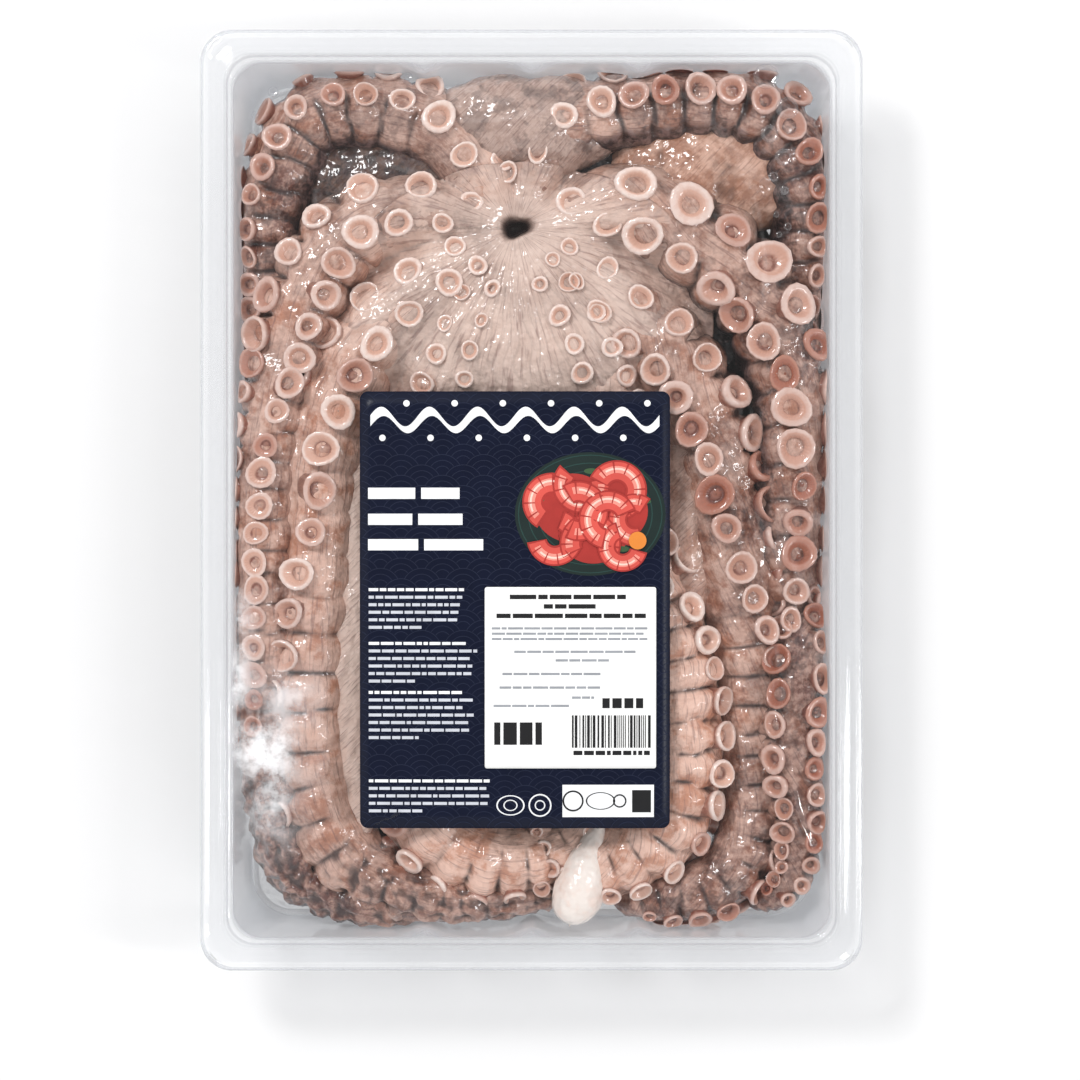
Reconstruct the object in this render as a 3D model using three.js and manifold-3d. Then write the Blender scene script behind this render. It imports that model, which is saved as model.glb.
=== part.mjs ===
// A whole cleaned octopus, lying mouth up in its clear sealed tray, with a card and a weight slip on top.
// Millimetres, +Z up. The origin is the middle of the tray's underside and +Y runs along the long
// side, towards the octopus's mouth.
import * as THREE from 'three';
import Module from 'manifold-3d';
import { mergeVertices } from 'three/addons/utils/BufferGeometryUtils.js';

// Driving dimensions of the tray.
const TRAY_WIDTH = 226;
const TRAY_LENGTH = 320;
const TRAY_HEIGHT = 39;
const TRAY_CORNER = 11;
const WALL = 0.8;
const ROOM_WIDTH = 207.4;
const ROOM_LENGTH = 302.4;
const ROOM_CORNER = 9.5;
const WALL_DRAFT = 5;
const BASE_CORNER = 15;
const BASE_ROUND = 3;
const TRAY_CORNER_STEPS = 4;
const STEP_HEIGHT = 2;
const STEP_WIDTH = 1.8;
const LIP_DROP = 3.6;
const LIP_ROLL = 1.6;

// Driving dimensions of the film, the card and the weight slip.
const GAP = 0.3;
const FILM_THICKNESS = 0.3;
const FILM_RISE = 6;
const FILM_POWER = 3;
const FILM_MARGIN = 2.6;
const FILM_RINGS = { rings: 6, cornerSteps: 3, sideSteps: 4 };
const CARD_RINGS = { rings: 4, cornerSteps: 2, sideSteps: 4 };
const SLIP_RINGS = { rings: 2, cornerSteps: 1, sideSteps: 3 };
const CARD = { width: 105, length: 148, corner: 2.7, thickness: 0.3, x: -5.6, y: -37.3 };
const SLIP = { width: 58, length: 61.4, corner: 0.8, thickness: 0.2, x: 13.2, y: -60.2 };

// Driving dimensions of the octopus.
const ARM_SIDES = 8;
const ARM_STEP = 16;
const FINE_STEPS = 600;
const ARM_TALLNESS = 1.14;
const ROW_SPREAD = 26;
const SUCKER_PITCH = 3.2;
const SUCKER_HEIGHT = 0.55;
const SUCKER_ROOT = 0.9;
const SUCKER_WAIST = 0.8;
const SUCKER_DISH = 0.45;
const SUCKER_SIDES = 6;
const LEAST_SUCKER = 4.2;
const LEAST_SHOWING = 0.3;
const CARD_OVERLAP = 4;
const CLEARANCE = 0.5;
const ROOM_RINGS = { cornerSteps: 3, sideSteps: 6 };
const CEILING_SHARES = [1, 0.85, 0.7, 0.5, 0.25];

// Each arm's way from the mouth to its tip. A row gives the middle of the arm (x, y, z), its half
// width, and how far its suckers face outwards from straight up, in degrees. Arms on the left run
// anticlockwise seen from above, so that outwards is to their right, and turn is 1; on the right -1.
// sucker is a sucker's radius as a share of the half width there, and shows is the stretch of the
// arm, from one distance along it to another, that carries suckers large enough to stand out.
const ARMS = [
  {
    turn: 1, sucker: 0.31, shows: [8, 160],
    way: [[-8, 100, 20, 11, 0], [-34, 129, 19, 14, 35], [-74, 132, 18, 13.5, 45], [-89, 104, 17, 13, 50],
      [-91, 70, 14, 12, 50], [-90, 25, 10, 10, 40], [-90, -30, 9, 9.5, 30], [-90, -85, 10, 9.5, 30],
      [-84, -125, 13, 10, 30], [-62, -137, 17, 10, 30], [-38, -140, 18, 8, 20], [-23, -136, 17, 4, 10]],
  },
  {
    turn: 1, sucker: 0.37, shows: [10, 300],
    way: [[-11, 94, 22, 8, 0], [-38, 100, 23, 12, 10], [-60, 94, 22, 15, 15], [-76, 74, 22, 15, 10],
      [-84, 48, 22, 14, 15], [-90, 20, 25, 12, 25], [-92, -20, 26, 11.5, 35], [-92, -65, 26, 10.5, 40],
      [-90, -100, 24, 9.5, 40], [-84, -124, 22, 8, 30], [-74, -136, 20, 5, 20]],
  },
  {
    turn: 1, sucker: 0.34, shows: [10, 300],
    way: [[-12, 88, 22, 8, 0], [-38, 72, 22, 13, 10], [-60, 49, 20, 16, 20], [-71, 17, 20, 16.5, 25],
      [-74, -20, 20, 16.5, 35], [-76, -60, 20, 15.5, 60], [-75, -97, 19, 14.5, 80],
      [-62, -125, 19, 13, 85], [-35, -136, 20, 10.5, 85], [-8, -138, 19, 7, 70], [10, -137, 18, 4, 50]],
  },
  {
    turn: 1, sucker: 0.31, shows: [8, 400],
    way: [[-11, 86, 22, 7, 0], [-24, 58, 22, 11, 0], [-36, 20, 21, 14, 0], [-43, -31, 20, 14.5, 0],
      [-43, -80, 20, 15, 20], [-38, -106, 20, 15, 65], [-22, -121, 20, 14.5, 85], [0, -124, 19, 12, 80],
      [18, -116, 18, 9, 30], [24, -90, 16, 6, 20], [20, -60, 14, 3, 10]],
  },
  {
    turn: -1, sucker: 0.31, shows: [8, 400],
    way: [[-1, 86, 22, 7, 0], [16, 63, 22, 12, 0], [30, 27, 21, 14.5, 0], [36, -15, 21, 15, 0],
      [46, -45, 21, 15.5, 70], [51, -88, 21, 16, 80], [43, -115, 20, 15, 80], [20, -126, 19, 12, 65],
      [2, -114, 17, 8, 30], [-4, -90, 15, 4, 10]],
  },
  {
    turn: -1, sucker: 0.36, shows: [10, 400],
    way: [[1, 89, 22, 8, 0], [28, 69, 22, 13.5, 0], [52, 43, 21, 16.5, 5], [63, 12, 20, 16.5, 20],
      [69, -20, 20, 15.5, 30], [75, -51, 17, 14, 55], [76, -85, 15, 12.5, 80], [76, -115, 16, 12, 85],
      [66, -131, 17, 11.5, 80], [46, -138, 17, 9.5, 65], [28, -139, 16, 4, 40]],
  },
  {
    turn: -1, sucker: 0.4, shows: [10, 240],
    way: [[3, 92, 22, 8, 0], [32, 102, 22, 15, -5], [62, 86, 22, 17, 0], [80, 67, 21, 16.5, 0],
      [88, 45, 20, 15.5, 20], [89, 15, 20, 14.5, 35], [88, -15, 19, 13.5, 40], [87, -40, 16, 11.5, 30],
      [86, -70, 11, 10, 0], [87, -105, 9, 8.5, 0], [80, -130, 10, 5, 0]],
  },
  {
    turn: -1, sucker: 0.33, shows: [8, 420],
    way: [[-3, 98, 20, 10, 0], [5, 125, 19, 13, 30], [40, 136, 18, 14, 40], [76, 134, 18, 14, 40],
      [94, 112, 18, 13.5, 40], [95, 80, 16, 12.5, 40], [91, 40, 10, 10.5, 20], [91, 0, 9, 10, 0],
      [91, -35, 14, 11, 0], [92, -62, 21, 13.5, 0], [90, -85, 22, 12.5, 0], [92, -112, 21, 10.5, 0],
      [88, -132, 20, 7.5, 0], [76, -141, 17, 3.5, 0]],
  },
];

// The pale lobe of flesh that shows between the arms at the near end, as rows of the same kind.
const LOBE = [[22, -113, 27, 2, 0], [20, -120, 28, 5, 0], [17.5, -129, 29, 8, 0], [16, -136, 29, 8.8, 0],
  [13.5, -143, 28, 4.5, 0]];

// The web round the mouth, the skirt that joins the arms below it, the folds of skin in the two far
// bends, the head under it all, and the mouth.
const WEB = { at: [-3, 64, 20], half: [60, 52, 18] };
const SKIRT = { at: [0, 72, 13], half: [88, 60, 11] };
const RIGHT_FOLD = { at: [62, 113, 16], half: [34, 20, 13] };
const LEFT_FOLD = { at: [-52, 111, 14], half: [36, 20, 13] };
const HEAD = { at: [-2, -10, 13], half: [52, 85, 12] };
const MOUTH = { at: [-5.6, 93.2, 37], half: [4.5, 3.6, 5] };
const BALL_SIDES = 14;
const BALL_BANDS = 6;
const MOUTH_SIDES = 9;
const MOUTH_BANDS = 6;

const radians = THREE.MathUtils.degToRad;

// A rounded rectangle as a loop of [x, y] points, anticlockwise seen from above. Each corner takes
// cornerSteps steps of arc, and each straight side is shared into sideSteps.
function roundedLoop(halfX, halfY, radius, cornerSteps, sideSteps) {
  const corners = [[1, 1], [-1, 1], [-1, -1], [1, -1]];
  const arcs = corners.map(([signX, signY], quarter) => {
    const arc = [];
    for (let i = 0; i <= cornerSteps; i++) {
      const angle = (quarter + i / cornerSteps) * Math.PI / 2;
      arc.push([
        signX * (halfX - radius) + radius * Math.cos(angle),
        signY * (halfY - radius) + radius * Math.sin(angle),
      ]);
    }
    return arc;
  });
  const loop = [];
  arcs.forEach((arc, quarter) => {
    loop.push(...arc);
    const from = arc[arc.length - 1];
    const to = arcs[(quarter + 1) % arcs.length][0];
    for (let i = 1; i < sideSteps; i++) {
      const share = i / sideSteps;
      loop.push([from[0] + (to[0] - from[0]) * share, from[1] + (to[1] - from[1]) * share]);
    }
  });
  return loop;
}

// A closed body through a stack of loops with equal numbers of points. The first and last loops are
// closed by fans round the points first and last. Seen along the stack each loop runs anticlockwise.
// Where ridged is true each cell is folded along its higher diagonal, so that the two faces of a
// thin plate are folded alike.
function bodyThroughLoops(first, loops, last, ridged = false) {
  const count = loops[0].length;
  const positions = [...first, ...loops.flat(2), ...last];
  const height = (point) => positions[3 * point + 2];
  const lastIndex = loops.length * count + 1;
  const at = (loop, i) => 1 + loop * count + (i % count);
  const index = [];
  for (let i = 0; i < count; i++) {
    index.push(0, at(0, i + 1), at(0, i));
    index.push(lastIndex, at(loops.length - 1, i), at(loops.length - 1, i + 1));
  }
  for (let loop = 0; loop + 1 < loops.length; loop++) {
    for (let i = 0; i < count; i++) {
      const [a, b, c, d] = [at(loop, i), at(loop, i + 1), at(loop + 1, i + 1), at(loop + 1, i)];
      if (ridged && height(b) + height(d) > height(a) + height(c)) {
        index.push(a, b, d);
        index.push(b, c, d);
      } else {
        index.push(a, b, c);
        index.push(a, c, d);
      }
    }
  }
  const geometry = new THREE.BufferGeometry();
  geometry.setAttribute('position', new THREE.Float32BufferAttribute(positions, 3));
  geometry.setIndex(index);
  return geometry;
}

const wasm = await Module();
wasm.setup();

// A closed geometry as a solid for joining and cutting.
function solid(geometry) {
  const bare = geometry.clone();
  bare.deleteAttribute('normal');
  bare.deleteAttribute('uv');
  const merged = mergeVertices(bare, 1e-4);
  return new wasm.Manifold(new wasm.Mesh({
    numProp: 3,
    vertProperties: new Float32Array(merged.attributes.position.array),
    triVerts: new Uint32Array(merged.index.array),
  }));
}

// A solid back as a three.js geometry.
function geometryOf(body) {
  const mesh = body.getMesh();
  const geometry = new THREE.BufferGeometry();
  geometry.setAttribute('position', new THREE.Float32BufferAttribute(mesh.vertProperties, 3));
  geometry.setIndex(Array.from(mesh.triVerts));
  geometry.computeVertexNormals();
  return geometry;
}

// The rise of the film above the flange, full in the middle and nothing at the room's edge.
function filmRise(x, y) {
  const acrossShare = Math.min(1, Math.abs(x) / (ROOM_WIDTH / 2));
  const alongShare = Math.min(1, Math.abs(y) / (ROOM_LENGTH / 2));
  return FILM_RISE * (1 - acrossShare ** FILM_POWER) * (1 - alongShare ** FILM_POWER);
}

// A loop at a height, which is a number or a function of x and y.
function raised(loop, height) {
  const heightAt = typeof height === 'function' ? height : () => height;
  return loop.map(([x, y]) => [x, y, heightAt(x, y)]);
}

// The tray: a thin drafted dish with a stepped rim, a flat sealing flange and a rolled lip.
function makeTray() {
  const loop = (halfX, halfY, radius, z) => (
    raised(roundedLoop(halfX, halfY, radius, TRAY_CORNER_STEPS, 1), z)
  );
  const roomX = ROOM_WIDTH / 2;
  const roomY = ROOM_LENGTH / 2;
  const baseX = roomX - WALL_DRAFT;
  const baseY = roomY - WALL_DRAFT;
  const stepZ = TRAY_HEIGHT - STEP_HEIGHT;
  const flangeX = TRAY_WIDTH / 2;
  const flangeY = TRAY_LENGTH / 2;
  return bodyThroughLoops([0, 0, 0], [
    loop(baseX + WALL - BASE_ROUND, baseY + WALL - BASE_ROUND, BASE_CORNER - BASE_ROUND, 0),
    loop(baseX + WALL, baseY + WALL, BASE_CORNER, BASE_ROUND),
    loop(roomX - STEP_WIDTH + WALL, roomY - STEP_WIDTH + WALL, ROOM_CORNER, stepZ - WALL),
    loop(roomX + WALL, roomY + WALL, ROOM_CORNER, stepZ - WALL),
    loop(roomX + WALL, roomY + WALL, ROOM_CORNER, TRAY_HEIGHT - WALL),
    loop(flangeX - LIP_ROLL, flangeY - LIP_ROLL, TRAY_CORNER - LIP_ROLL, TRAY_HEIGHT - WALL),
    loop(flangeX - WALL, flangeY - WALL, TRAY_CORNER - WALL, TRAY_HEIGHT - LIP_DROP),
    loop(flangeX, flangeY, TRAY_CORNER, TRAY_HEIGHT - LIP_DROP),
    loop(flangeX, flangeY, TRAY_CORNER, TRAY_HEIGHT - LIP_ROLL),
    loop(flangeX - LIP_ROLL, flangeY - LIP_ROLL, TRAY_CORNER - LIP_ROLL, TRAY_HEIGHT),
    loop(roomX, roomY, ROOM_CORNER, TRAY_HEIGHT),
    loop(roomX, roomY, ROOM_CORNER, stepZ),
    loop(roomX - STEP_WIDTH, roomY - STEP_WIDTH, ROOM_CORNER, stepZ),
    loop(baseX, baseY, BASE_CORNER, BASE_ROUND + WALL),
    loop(baseX - BASE_ROUND, baseY - BASE_ROUND, BASE_CORNER - BASE_ROUND, WALL),
  ], [0, 0, WALL]);
}

// A thin plate that follows the film's rise, as nested loops below and above it.
function plateOnFilm({ width, length, corner, thickness, x, y }, clearance, mesh) {
  const loopAt = (share, lift) => {
    const sizes = [width / 2 * share, length / 2 * share, corner * share];
    const loop = roundedLoop(...sizes, mesh.cornerSteps, mesh.sideSteps);
    const placed = loop.map(([px, py]) => [px + x, py + y]);
    return raised(placed, (px, py) => TRAY_HEIGHT + clearance + lift + filmRise(px, py));
  };
  const shares = Array.from({ length: mesh.rings }, (_, i) => (i + 1) / mesh.rings);
  const below = shares.map((share) => loopAt(share, 0));
  const above = shares.map((share) => loopAt(share, thickness)).reverse();
  const middle = (lift) => [x, y, TRAY_HEIGHT + clearance + lift + filmRise(x, y)];
  return bodyThroughLoops(middle(0), [...below, ...above], middle(thickness), true);
}

// The film: sealed round the flange and rising over the octopus.
function makeFilm() {
  const sheet = {
    width: TRAY_WIDTH - 2 * FILM_MARGIN,
    length: TRAY_LENGTH - 2 * FILM_MARGIN,
    corner: TRAY_CORNER - FILM_MARGIN,
    thickness: FILM_THICKNESS,
    x: 0,
    y: 0,
  };
  return plateOnFilm(sheet, GAP, FILM_RINGS);
}

// The room left for the octopus between the tray and the film.
function makeRoom() {
  const loop = (halfX, halfY, radius, z) => (
    raised(roundedLoop(halfX, halfY, radius, ROOM_RINGS.cornerSteps, ROOM_RINGS.sideSteps), z)
  );
  const roomX = ROOM_WIDTH / 2 - STEP_WIDTH - CLEARANCE;
  const roomY = ROOM_LENGTH / 2 - STEP_WIDTH - CLEARANCE;
  const baseX = ROOM_WIDTH / 2 - WALL_DRAFT - CLEARANCE;
  const baseY = ROOM_LENGTH / 2 - WALL_DRAFT - CLEARANCE;
  const ceiling = (x, y) => TRAY_HEIGHT - CLEARANCE + filmRise(x, y);
  const loops = [
    loop(baseX - BASE_ROUND, baseY - BASE_ROUND, BASE_CORNER - BASE_ROUND, WALL + CLEARANCE),
    loop(baseX, baseY, BASE_CORNER, BASE_ROUND + WALL),
    loop(roomX, roomY, ROOM_CORNER, TRAY_HEIGHT - STEP_HEIGHT),
  ];
  for (const share of CEILING_SHARES) {
    loops.push(loop(roomX * share, roomY * share, ROOM_CORNER * share, ceiling));
  }
  return bodyThroughLoops([0, 0, WALL + CLEARANCE], loops, [0, 0, ceiling(0, 0)]);
}

// An arm's smooth way: the middle, half width and facing at any share of its rows.
function smoothWay(rows) {
  const middle = new THREE.CatmullRomCurve3(rows.map(([x, y, z]) => new THREE.Vector3(x, y, z)));
  const size = new THREE.CatmullRomCurve3(rows.map((row) => new THREE.Vector3(row[3], row[4], 0)));
  return (share) => {
    const at = middle.getPoint(share);
    const along = middle.getTangent(share);
    const right = new THREE.Vector3().crossVectors(along, new THREE.Vector3(0, 0, 1)).normalize();
    const up = new THREE.Vector3().crossVectors(right, along);
    const { x: halfWidth, y: facing } = size.getPoint(share);
    return { at, right, up, along, halfWidth: Math.max(halfWidth, 1), facing };
  };
}

// The arm's distance from its middle in a direction that leans by an angle from straight up.
function armReach(halfWidth, lean) {
  const rise = Math.cos(lean) / (halfWidth * ARM_TALLNESS);
  const side = Math.sin(lean) / halfWidth;
  return 1 / Math.hypot(rise, side);
}

// The arm itself: an oval section carried along its way, closed at both ends.
function makeArm(rows) {
  const wayAt = smoothWay(rows);
  const steps = Math.ceil(wayLength(wayAt) / ARM_STEP);
  const loops = [];
  for (let i = 0; i <= steps; i++) {
    const { at, right, up, halfWidth } = wayAt(i / steps);
    const loop = [];
    for (let k = 0; k < ARM_SIDES; k++) {
      const angle = 2 * Math.PI * k / ARM_SIDES;
      const point = at.clone()
        .addScaledVector(right, halfWidth * Math.cos(angle))
        .addScaledVector(up, -halfWidth * ARM_TALLNESS * Math.sin(angle));
      loop.push(point.toArray());
    }
    loops.push(loop);
  }
  const start = wayAt(0);
  const end = wayAt(1);
  const root = start.at.addScaledVector(start.along, -start.halfWidth / 2);
  const tip = end.at.addScaledVector(end.along, end.halfWidth);
  return bodyThroughLoops(root.toArray(), loops, tip.toArray());
}

// The length of a way, from short straight steps.
function wayLength(wayAt) {
  let length = 0;
  for (let i = 0; i < FINE_STEPS; i++) {
    length += wayAt(i / FINE_STEPS).at.distanceTo(wayAt((i + 1) / FINE_STEPS).at);
  }
  return length;
}

// One sucker: a stalk that widens to a dished disc.
function makeSucker(foot, axis, radius) {
  const across = new THREE.Vector3().crossVectors(axis, new THREE.Vector3(0.3, 0.2, 1)).normalize();
  const round = new THREE.Vector3().crossVectors(axis, across);
  const loop = (share, height) => Array.from({ length: SUCKER_SIDES }, (_, i) => {
    const angle = 2 * Math.PI * i / SUCKER_SIDES;
    return foot.clone()
      .addScaledVector(across, radius * share * Math.cos(angle))
      .addScaledVector(round, radius * share * Math.sin(angle))
      .addScaledVector(axis, height)
      .toArray();
  });
  const top = radius * SUCKER_HEIGHT;
  const below = foot.clone().addScaledVector(axis, -radius * SUCKER_ROOT);
  const above = foot.clone().addScaledVector(axis, top - radius * SUCKER_DISH);
  const loops = [loop(SUCKER_WAIST, -radius * SUCKER_ROOT), loop(1, top)];
  return bodyThroughLoops(below.toArray(), loops, above.toArray());
}

// Whether a point lies under the card, where nothing of the octopus shows.
function underCard(point) {
  return Math.abs(point.x - CARD.x) < CARD.width / 2 - CARD_OVERLAP
    && Math.abs(point.y - CARD.y) < CARD.length / 2 - CARD_OVERLAP;
}

// An arm's suckers: two staggered rows, as far apart along the arm as their size asks.
function makeSuckers({ way, turn, sucker, shows }) {
  const wayAt = smoothWay(way);
  const found = [];
  let travelled = 0;
  let next = shows[0];
  let row = 1;
  for (let i = 1; i <= FINE_STEPS; i++) {
    const { at, right, up, halfWidth, facing } = wayAt(i / FINE_STEPS);
    travelled += at.distanceTo(wayAt((i - 1) / FINE_STEPS).at);
    if (travelled < next || travelled > shows[1]) continue;
    const radius = halfWidth * sucker;
    next = travelled + radius * SUCKER_PITCH / 2;
    row = -row;
    const lean = radians(facing + row * ROW_SPREAD);
    const axis = up.clone().multiplyScalar(Math.cos(lean))
      .addScaledVector(right, turn * Math.sin(lean)).normalize();
    const foot = at.clone().addScaledVector(axis, armReach(halfWidth, lean));
    if (radius < LEAST_SUCKER || axis.z < LEAST_SHOWING || underCard(foot)) continue;
    found.push(makeSucker(foot, axis, radius));
  }
  return found;
}

// A ball stretched to three half sizes.
function makeBall({ at, half }, sides, bands) {
  const ball = new THREE.SphereGeometry(1, sides, bands);
  ball.scale(...half);
  ball.translate(...at);
  return ball;
}

// The octopus, one solid: arms, suckers, web, head and lobe grown together, less the mouth, and
// pressed into the room between the tray and the film.
function makeOctopus() {
  const pieces = [
    ...[WEB, SKIRT, RIGHT_FOLD, LEFT_FOLD, HEAD].map((ball) => makeBall(ball, BALL_SIDES, BALL_BANDS)),
    makeArm(LOBE),
    ...ARMS.map(({ way }) => makeArm(way)),
    ...ARMS.flatMap(makeSuckers),
  ];
  const whole = pieces.map(solid).reduce((joined, piece) => joined.add(piece));
  const mouth = solid(makeBall(MOUTH, MOUTH_SIDES, MOUTH_BANDS));
  return geometryOf(whole.subtract(mouth).intersect(solid(makeRoom())));
}

// A named mesh with its own finish.
function meshOf(name, geometry, color, roughness, opacity = 1) {
  const material = new THREE.MeshStandardMaterial({
    color, roughness, metalness: 0, opacity, transparent: opacity < 1,
  });
  const mesh = new THREE.Mesh(geometry, material);
  mesh.name = name;
  return mesh;
}

const pack = new THREE.Group();
const cardClearance = GAP + FILM_THICKNESS + GAP;
const slipClearance = cardClearance + CARD.thickness + GAP;
pack.add(meshOf('tray', makeTray(), 0xe9ecee, 0.15, 0.35));
pack.add(meshOf('octopus', makeOctopus(), 0xc99a86, 0.35));
pack.add(meshOf('film', makeFilm(), 0xf4f6f8, 0.1, 0.25));
pack.add(meshOf('card', plateOnFilm(CARD, cardClearance, CARD_RINGS), 0x171d33, 0.5));
pack.add(meshOf('weight_slip', plateOnFilm(SLIP, slipClearance, SLIP_RINGS), 0xf2f2f0, 0.6));

export default pack;
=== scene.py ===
"""A whole cleaned octopus, mouth up in its clear sealed tray, with a printed card and a weight slip."""

import logging
import math
from collections.abc import Callable
from dataclasses import dataclass, field
from enum import Enum

import bpy
import numpy as np
from numpy.typing import NDArray
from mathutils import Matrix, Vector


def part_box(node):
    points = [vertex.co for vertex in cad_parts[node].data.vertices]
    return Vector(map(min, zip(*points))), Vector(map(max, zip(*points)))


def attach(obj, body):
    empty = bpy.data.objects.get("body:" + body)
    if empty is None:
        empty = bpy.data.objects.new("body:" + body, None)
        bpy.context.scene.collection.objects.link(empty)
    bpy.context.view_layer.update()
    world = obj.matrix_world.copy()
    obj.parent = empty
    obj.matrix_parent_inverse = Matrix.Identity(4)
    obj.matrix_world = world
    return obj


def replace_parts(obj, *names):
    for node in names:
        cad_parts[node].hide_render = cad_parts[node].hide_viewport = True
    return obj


Array = NDArray[np.float64]
Numbers = NDArray[np.int64]
Colour = tuple[float, float, float]
Socket = bpy.types.NodeSocket
MM = 0.001
TURN = 2 * math.pi

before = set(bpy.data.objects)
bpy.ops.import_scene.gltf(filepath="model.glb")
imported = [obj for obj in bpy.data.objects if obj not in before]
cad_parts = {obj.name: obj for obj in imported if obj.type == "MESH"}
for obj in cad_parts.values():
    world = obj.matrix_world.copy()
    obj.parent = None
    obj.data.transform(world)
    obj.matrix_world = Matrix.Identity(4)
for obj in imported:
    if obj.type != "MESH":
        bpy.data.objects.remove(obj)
log = logging.getLogger("octopus_pack")


# Shapes as whole arrays

@dataclass
class Surface:
    """A mesh as whole arrays, in millimetres.

    Attributes:
        points: One row of x, y, z for each point.
        quads: Four point numbers for each four-sided face.
        tris: Three point numbers for each three-sided face.
        values: Named values, one for each point, that materials read.
        material: Which of the piece's materials the faces take.
    """

    points: Array
    quads: Numbers
    tris: Numbers
    values: dict[str, Array] = field(default_factory=dict)
    material: int = 0


def grid_surface(points: Array, values: dict[str, Array] | None = None, material: int = 0) -> Surface:
    """An open sheet through a grid of points.

    Args:
        points: A grid of shape rows, columns, 3. Its faces look up where x grows along the columns
            and y along the rows.
        values: Named grids of shape rows, columns.
        material: Which of the piece's materials the sheet takes.

    Returns:
        The sheet, one four-sided face for each cell.
    """
    rows, columns = points.shape[:2]
    number = np.arange(rows * columns).reshape(rows, columns)
    cells = (number[:-1, :-1], number[:-1, 1:], number[1:, 1:], number[1:, :-1])
    quads = np.stack(cells, axis=-1).reshape(-1, 4)
    flat = {name: grid.reshape(-1) for name, grid in (values or {}).items()}
    return Surface(points.reshape(-1, 3), quads, np.zeros((0, 3), dtype=np.int64), flat, material)


def loop_faces(count: int, sides: int) -> tuple[Numbers, Numbers, Numbers]:
    """Joins each loop of a stack to the next, point by point.

    Args:
        count: How many loops the stack has.
        sides: Points in each loop.

    Returns:
        The points' numbers, a row for each loop; the number that follows each; and the faces.
    """
    number = np.arange(count * sides).reshape(count, sides)
    after = np.roll(number, -1, axis=1)
    quads = np.stack((number[:-1], after[:-1], after[1:], number[1:]), axis=-1).reshape(-1, 4)
    return number, after, quads


def tube_surface(loops: Array, first: Array, last: Array, values: dict[str, Array] | None = None,
                 material: int = 0) -> Surface:
    """A closed body through a stack of loops, shut by a fan at each end.

    Args:
        loops: Shape loops, points, 3; each loop runs anticlockwise about the way the stack goes.
        first: The middle of the fan before the first loop.
        last: The middle of the fan after the last loop.
        values: Named grids of shape loops, points; an end's middle takes its loop's mean.
        material: Which of the piece's materials the body takes.

    Returns:
        The closed body.
    """
    count, sides = loops.shape[:2]
    number, after, quads = loop_faces(count, sides)
    ends = count * sides + np.arange(2)
    start = np.stack((np.full(sides, ends[0]), after[0], number[0]), axis=-1)
    finish = np.stack((np.full(sides, ends[1]), number[-1], after[-1]), axis=-1)
    points = np.concatenate((loops.reshape(-1, 3), first[None], last[None]))
    flat = {}
    for name, grid in (values or {}).items():
        flat[name] = np.concatenate((grid.reshape(-1), [grid[0].mean(), grid[-1].mean()]))
    return Surface(points, quads, np.concatenate((start, finish)), flat, material)


def disc_surface(loops: Array) -> Surface:
    """A sheet through nested loops, with a closed seam and a fan that shuts its middle.

    Args:
        loops: Shape loops, points, 3, from the rim inwards; each loop runs anticlockwise.

    Returns:
        The sheet, facing up and open only at its rim.
    """
    count, sides = loops.shape[:2]
    number, after, quads = loop_faces(count, sides)
    fan = np.stack((np.full(sides, count * sides), number[-1], after[-1]), axis=-1)
    points = np.concatenate((loops.reshape(-1, 3), loops[-1].mean(axis=0)[None]))
    return Surface(points, quads, fan)


def mesh_piece(name: str, surfaces: list[Surface], materials: list[bpy.types.Material]) -> bpy.types.Object:
    """One piece made of several surfaces, smooth shaded, placed by its mesh.

    Args:
        name: The piece's name.
        surfaces: The surfaces to join, in millimetres.
        materials: The piece's materials, in the order that the surfaces number them.

    Returns:
        The piece, riding on the one body.
    """
    starts = np.cumsum([0] + [len(surface.points) for surface in surfaces])
    points = np.concatenate([surface.points for surface in surfaces]) * MM
    quads = np.concatenate([surface.quads + start for surface, start in zip(surfaces, starts)])
    tris = np.concatenate([surface.tris + start for surface, start in zip(surfaces, starts)])
    slots = [np.full(len(surface.quads), surface.material) for surface in surfaces]
    slots += [np.full(len(surface.tris), surface.material) for surface in surfaces]
    sizes = np.concatenate((np.full(len(quads), 4), np.full(len(tris), 3)))
    corners = np.concatenate((quads.reshape(-1), tris.reshape(-1))).astype(np.int32)
    mesh = bpy.data.meshes.new(name)
    mesh.vertices.add(len(points))
    mesh.vertices.foreach_set("co", points.reshape(-1))
    mesh.loops.add(len(corners))
    mesh.loops.foreach_set("vertex_index", corners)
    mesh.polygons.add(len(sizes))
    mesh.polygons.foreach_set("loop_start", np.concatenate(([0], np.cumsum(sizes)[:-1])).astype(np.int32))
    mesh.polygons.foreach_set("material_index", np.concatenate(slots).astype(np.int32))
    mesh.polygons.foreach_set("use_smooth", np.ones(len(sizes), dtype=bool))
    for material in materials:
        mesh.materials.append(material)
    names = sorted({key for surface in surfaces for key in surface.values})
    for key in names:
        layer = mesh.attributes.new(key, "FLOAT", "POINT")
        filled = [surface.values.get(key, np.zeros(len(surface.points))) for surface in surfaces]
        layer.data.foreach_set("value", np.concatenate(filled))
    mesh.update(calc_edges=True)
    mesh.validate()
    piece = bpy.data.objects.new(name, mesh)
    bpy.context.scene.collection.objects.link(piece)
    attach(piece, "root")
    log.info("%s: %d points, %d faces", name, len(points), len(sizes))
    return piece


def unit(vectors: Array) -> Array:
    """The vectors at length one."""
    return vectors / np.maximum(np.linalg.norm(vectors, axis=-1, keepdims=True), 1e-9)


def smooth_step(low: float, high: float, value: Array) -> Array:
    """A soft ramp from 0 at low to 1 at high: three times the share's square less twice its cube."""
    share = np.clip((value - low) / (high - low), 0, 1)
    return share * share * (3 - 2 * share)


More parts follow.
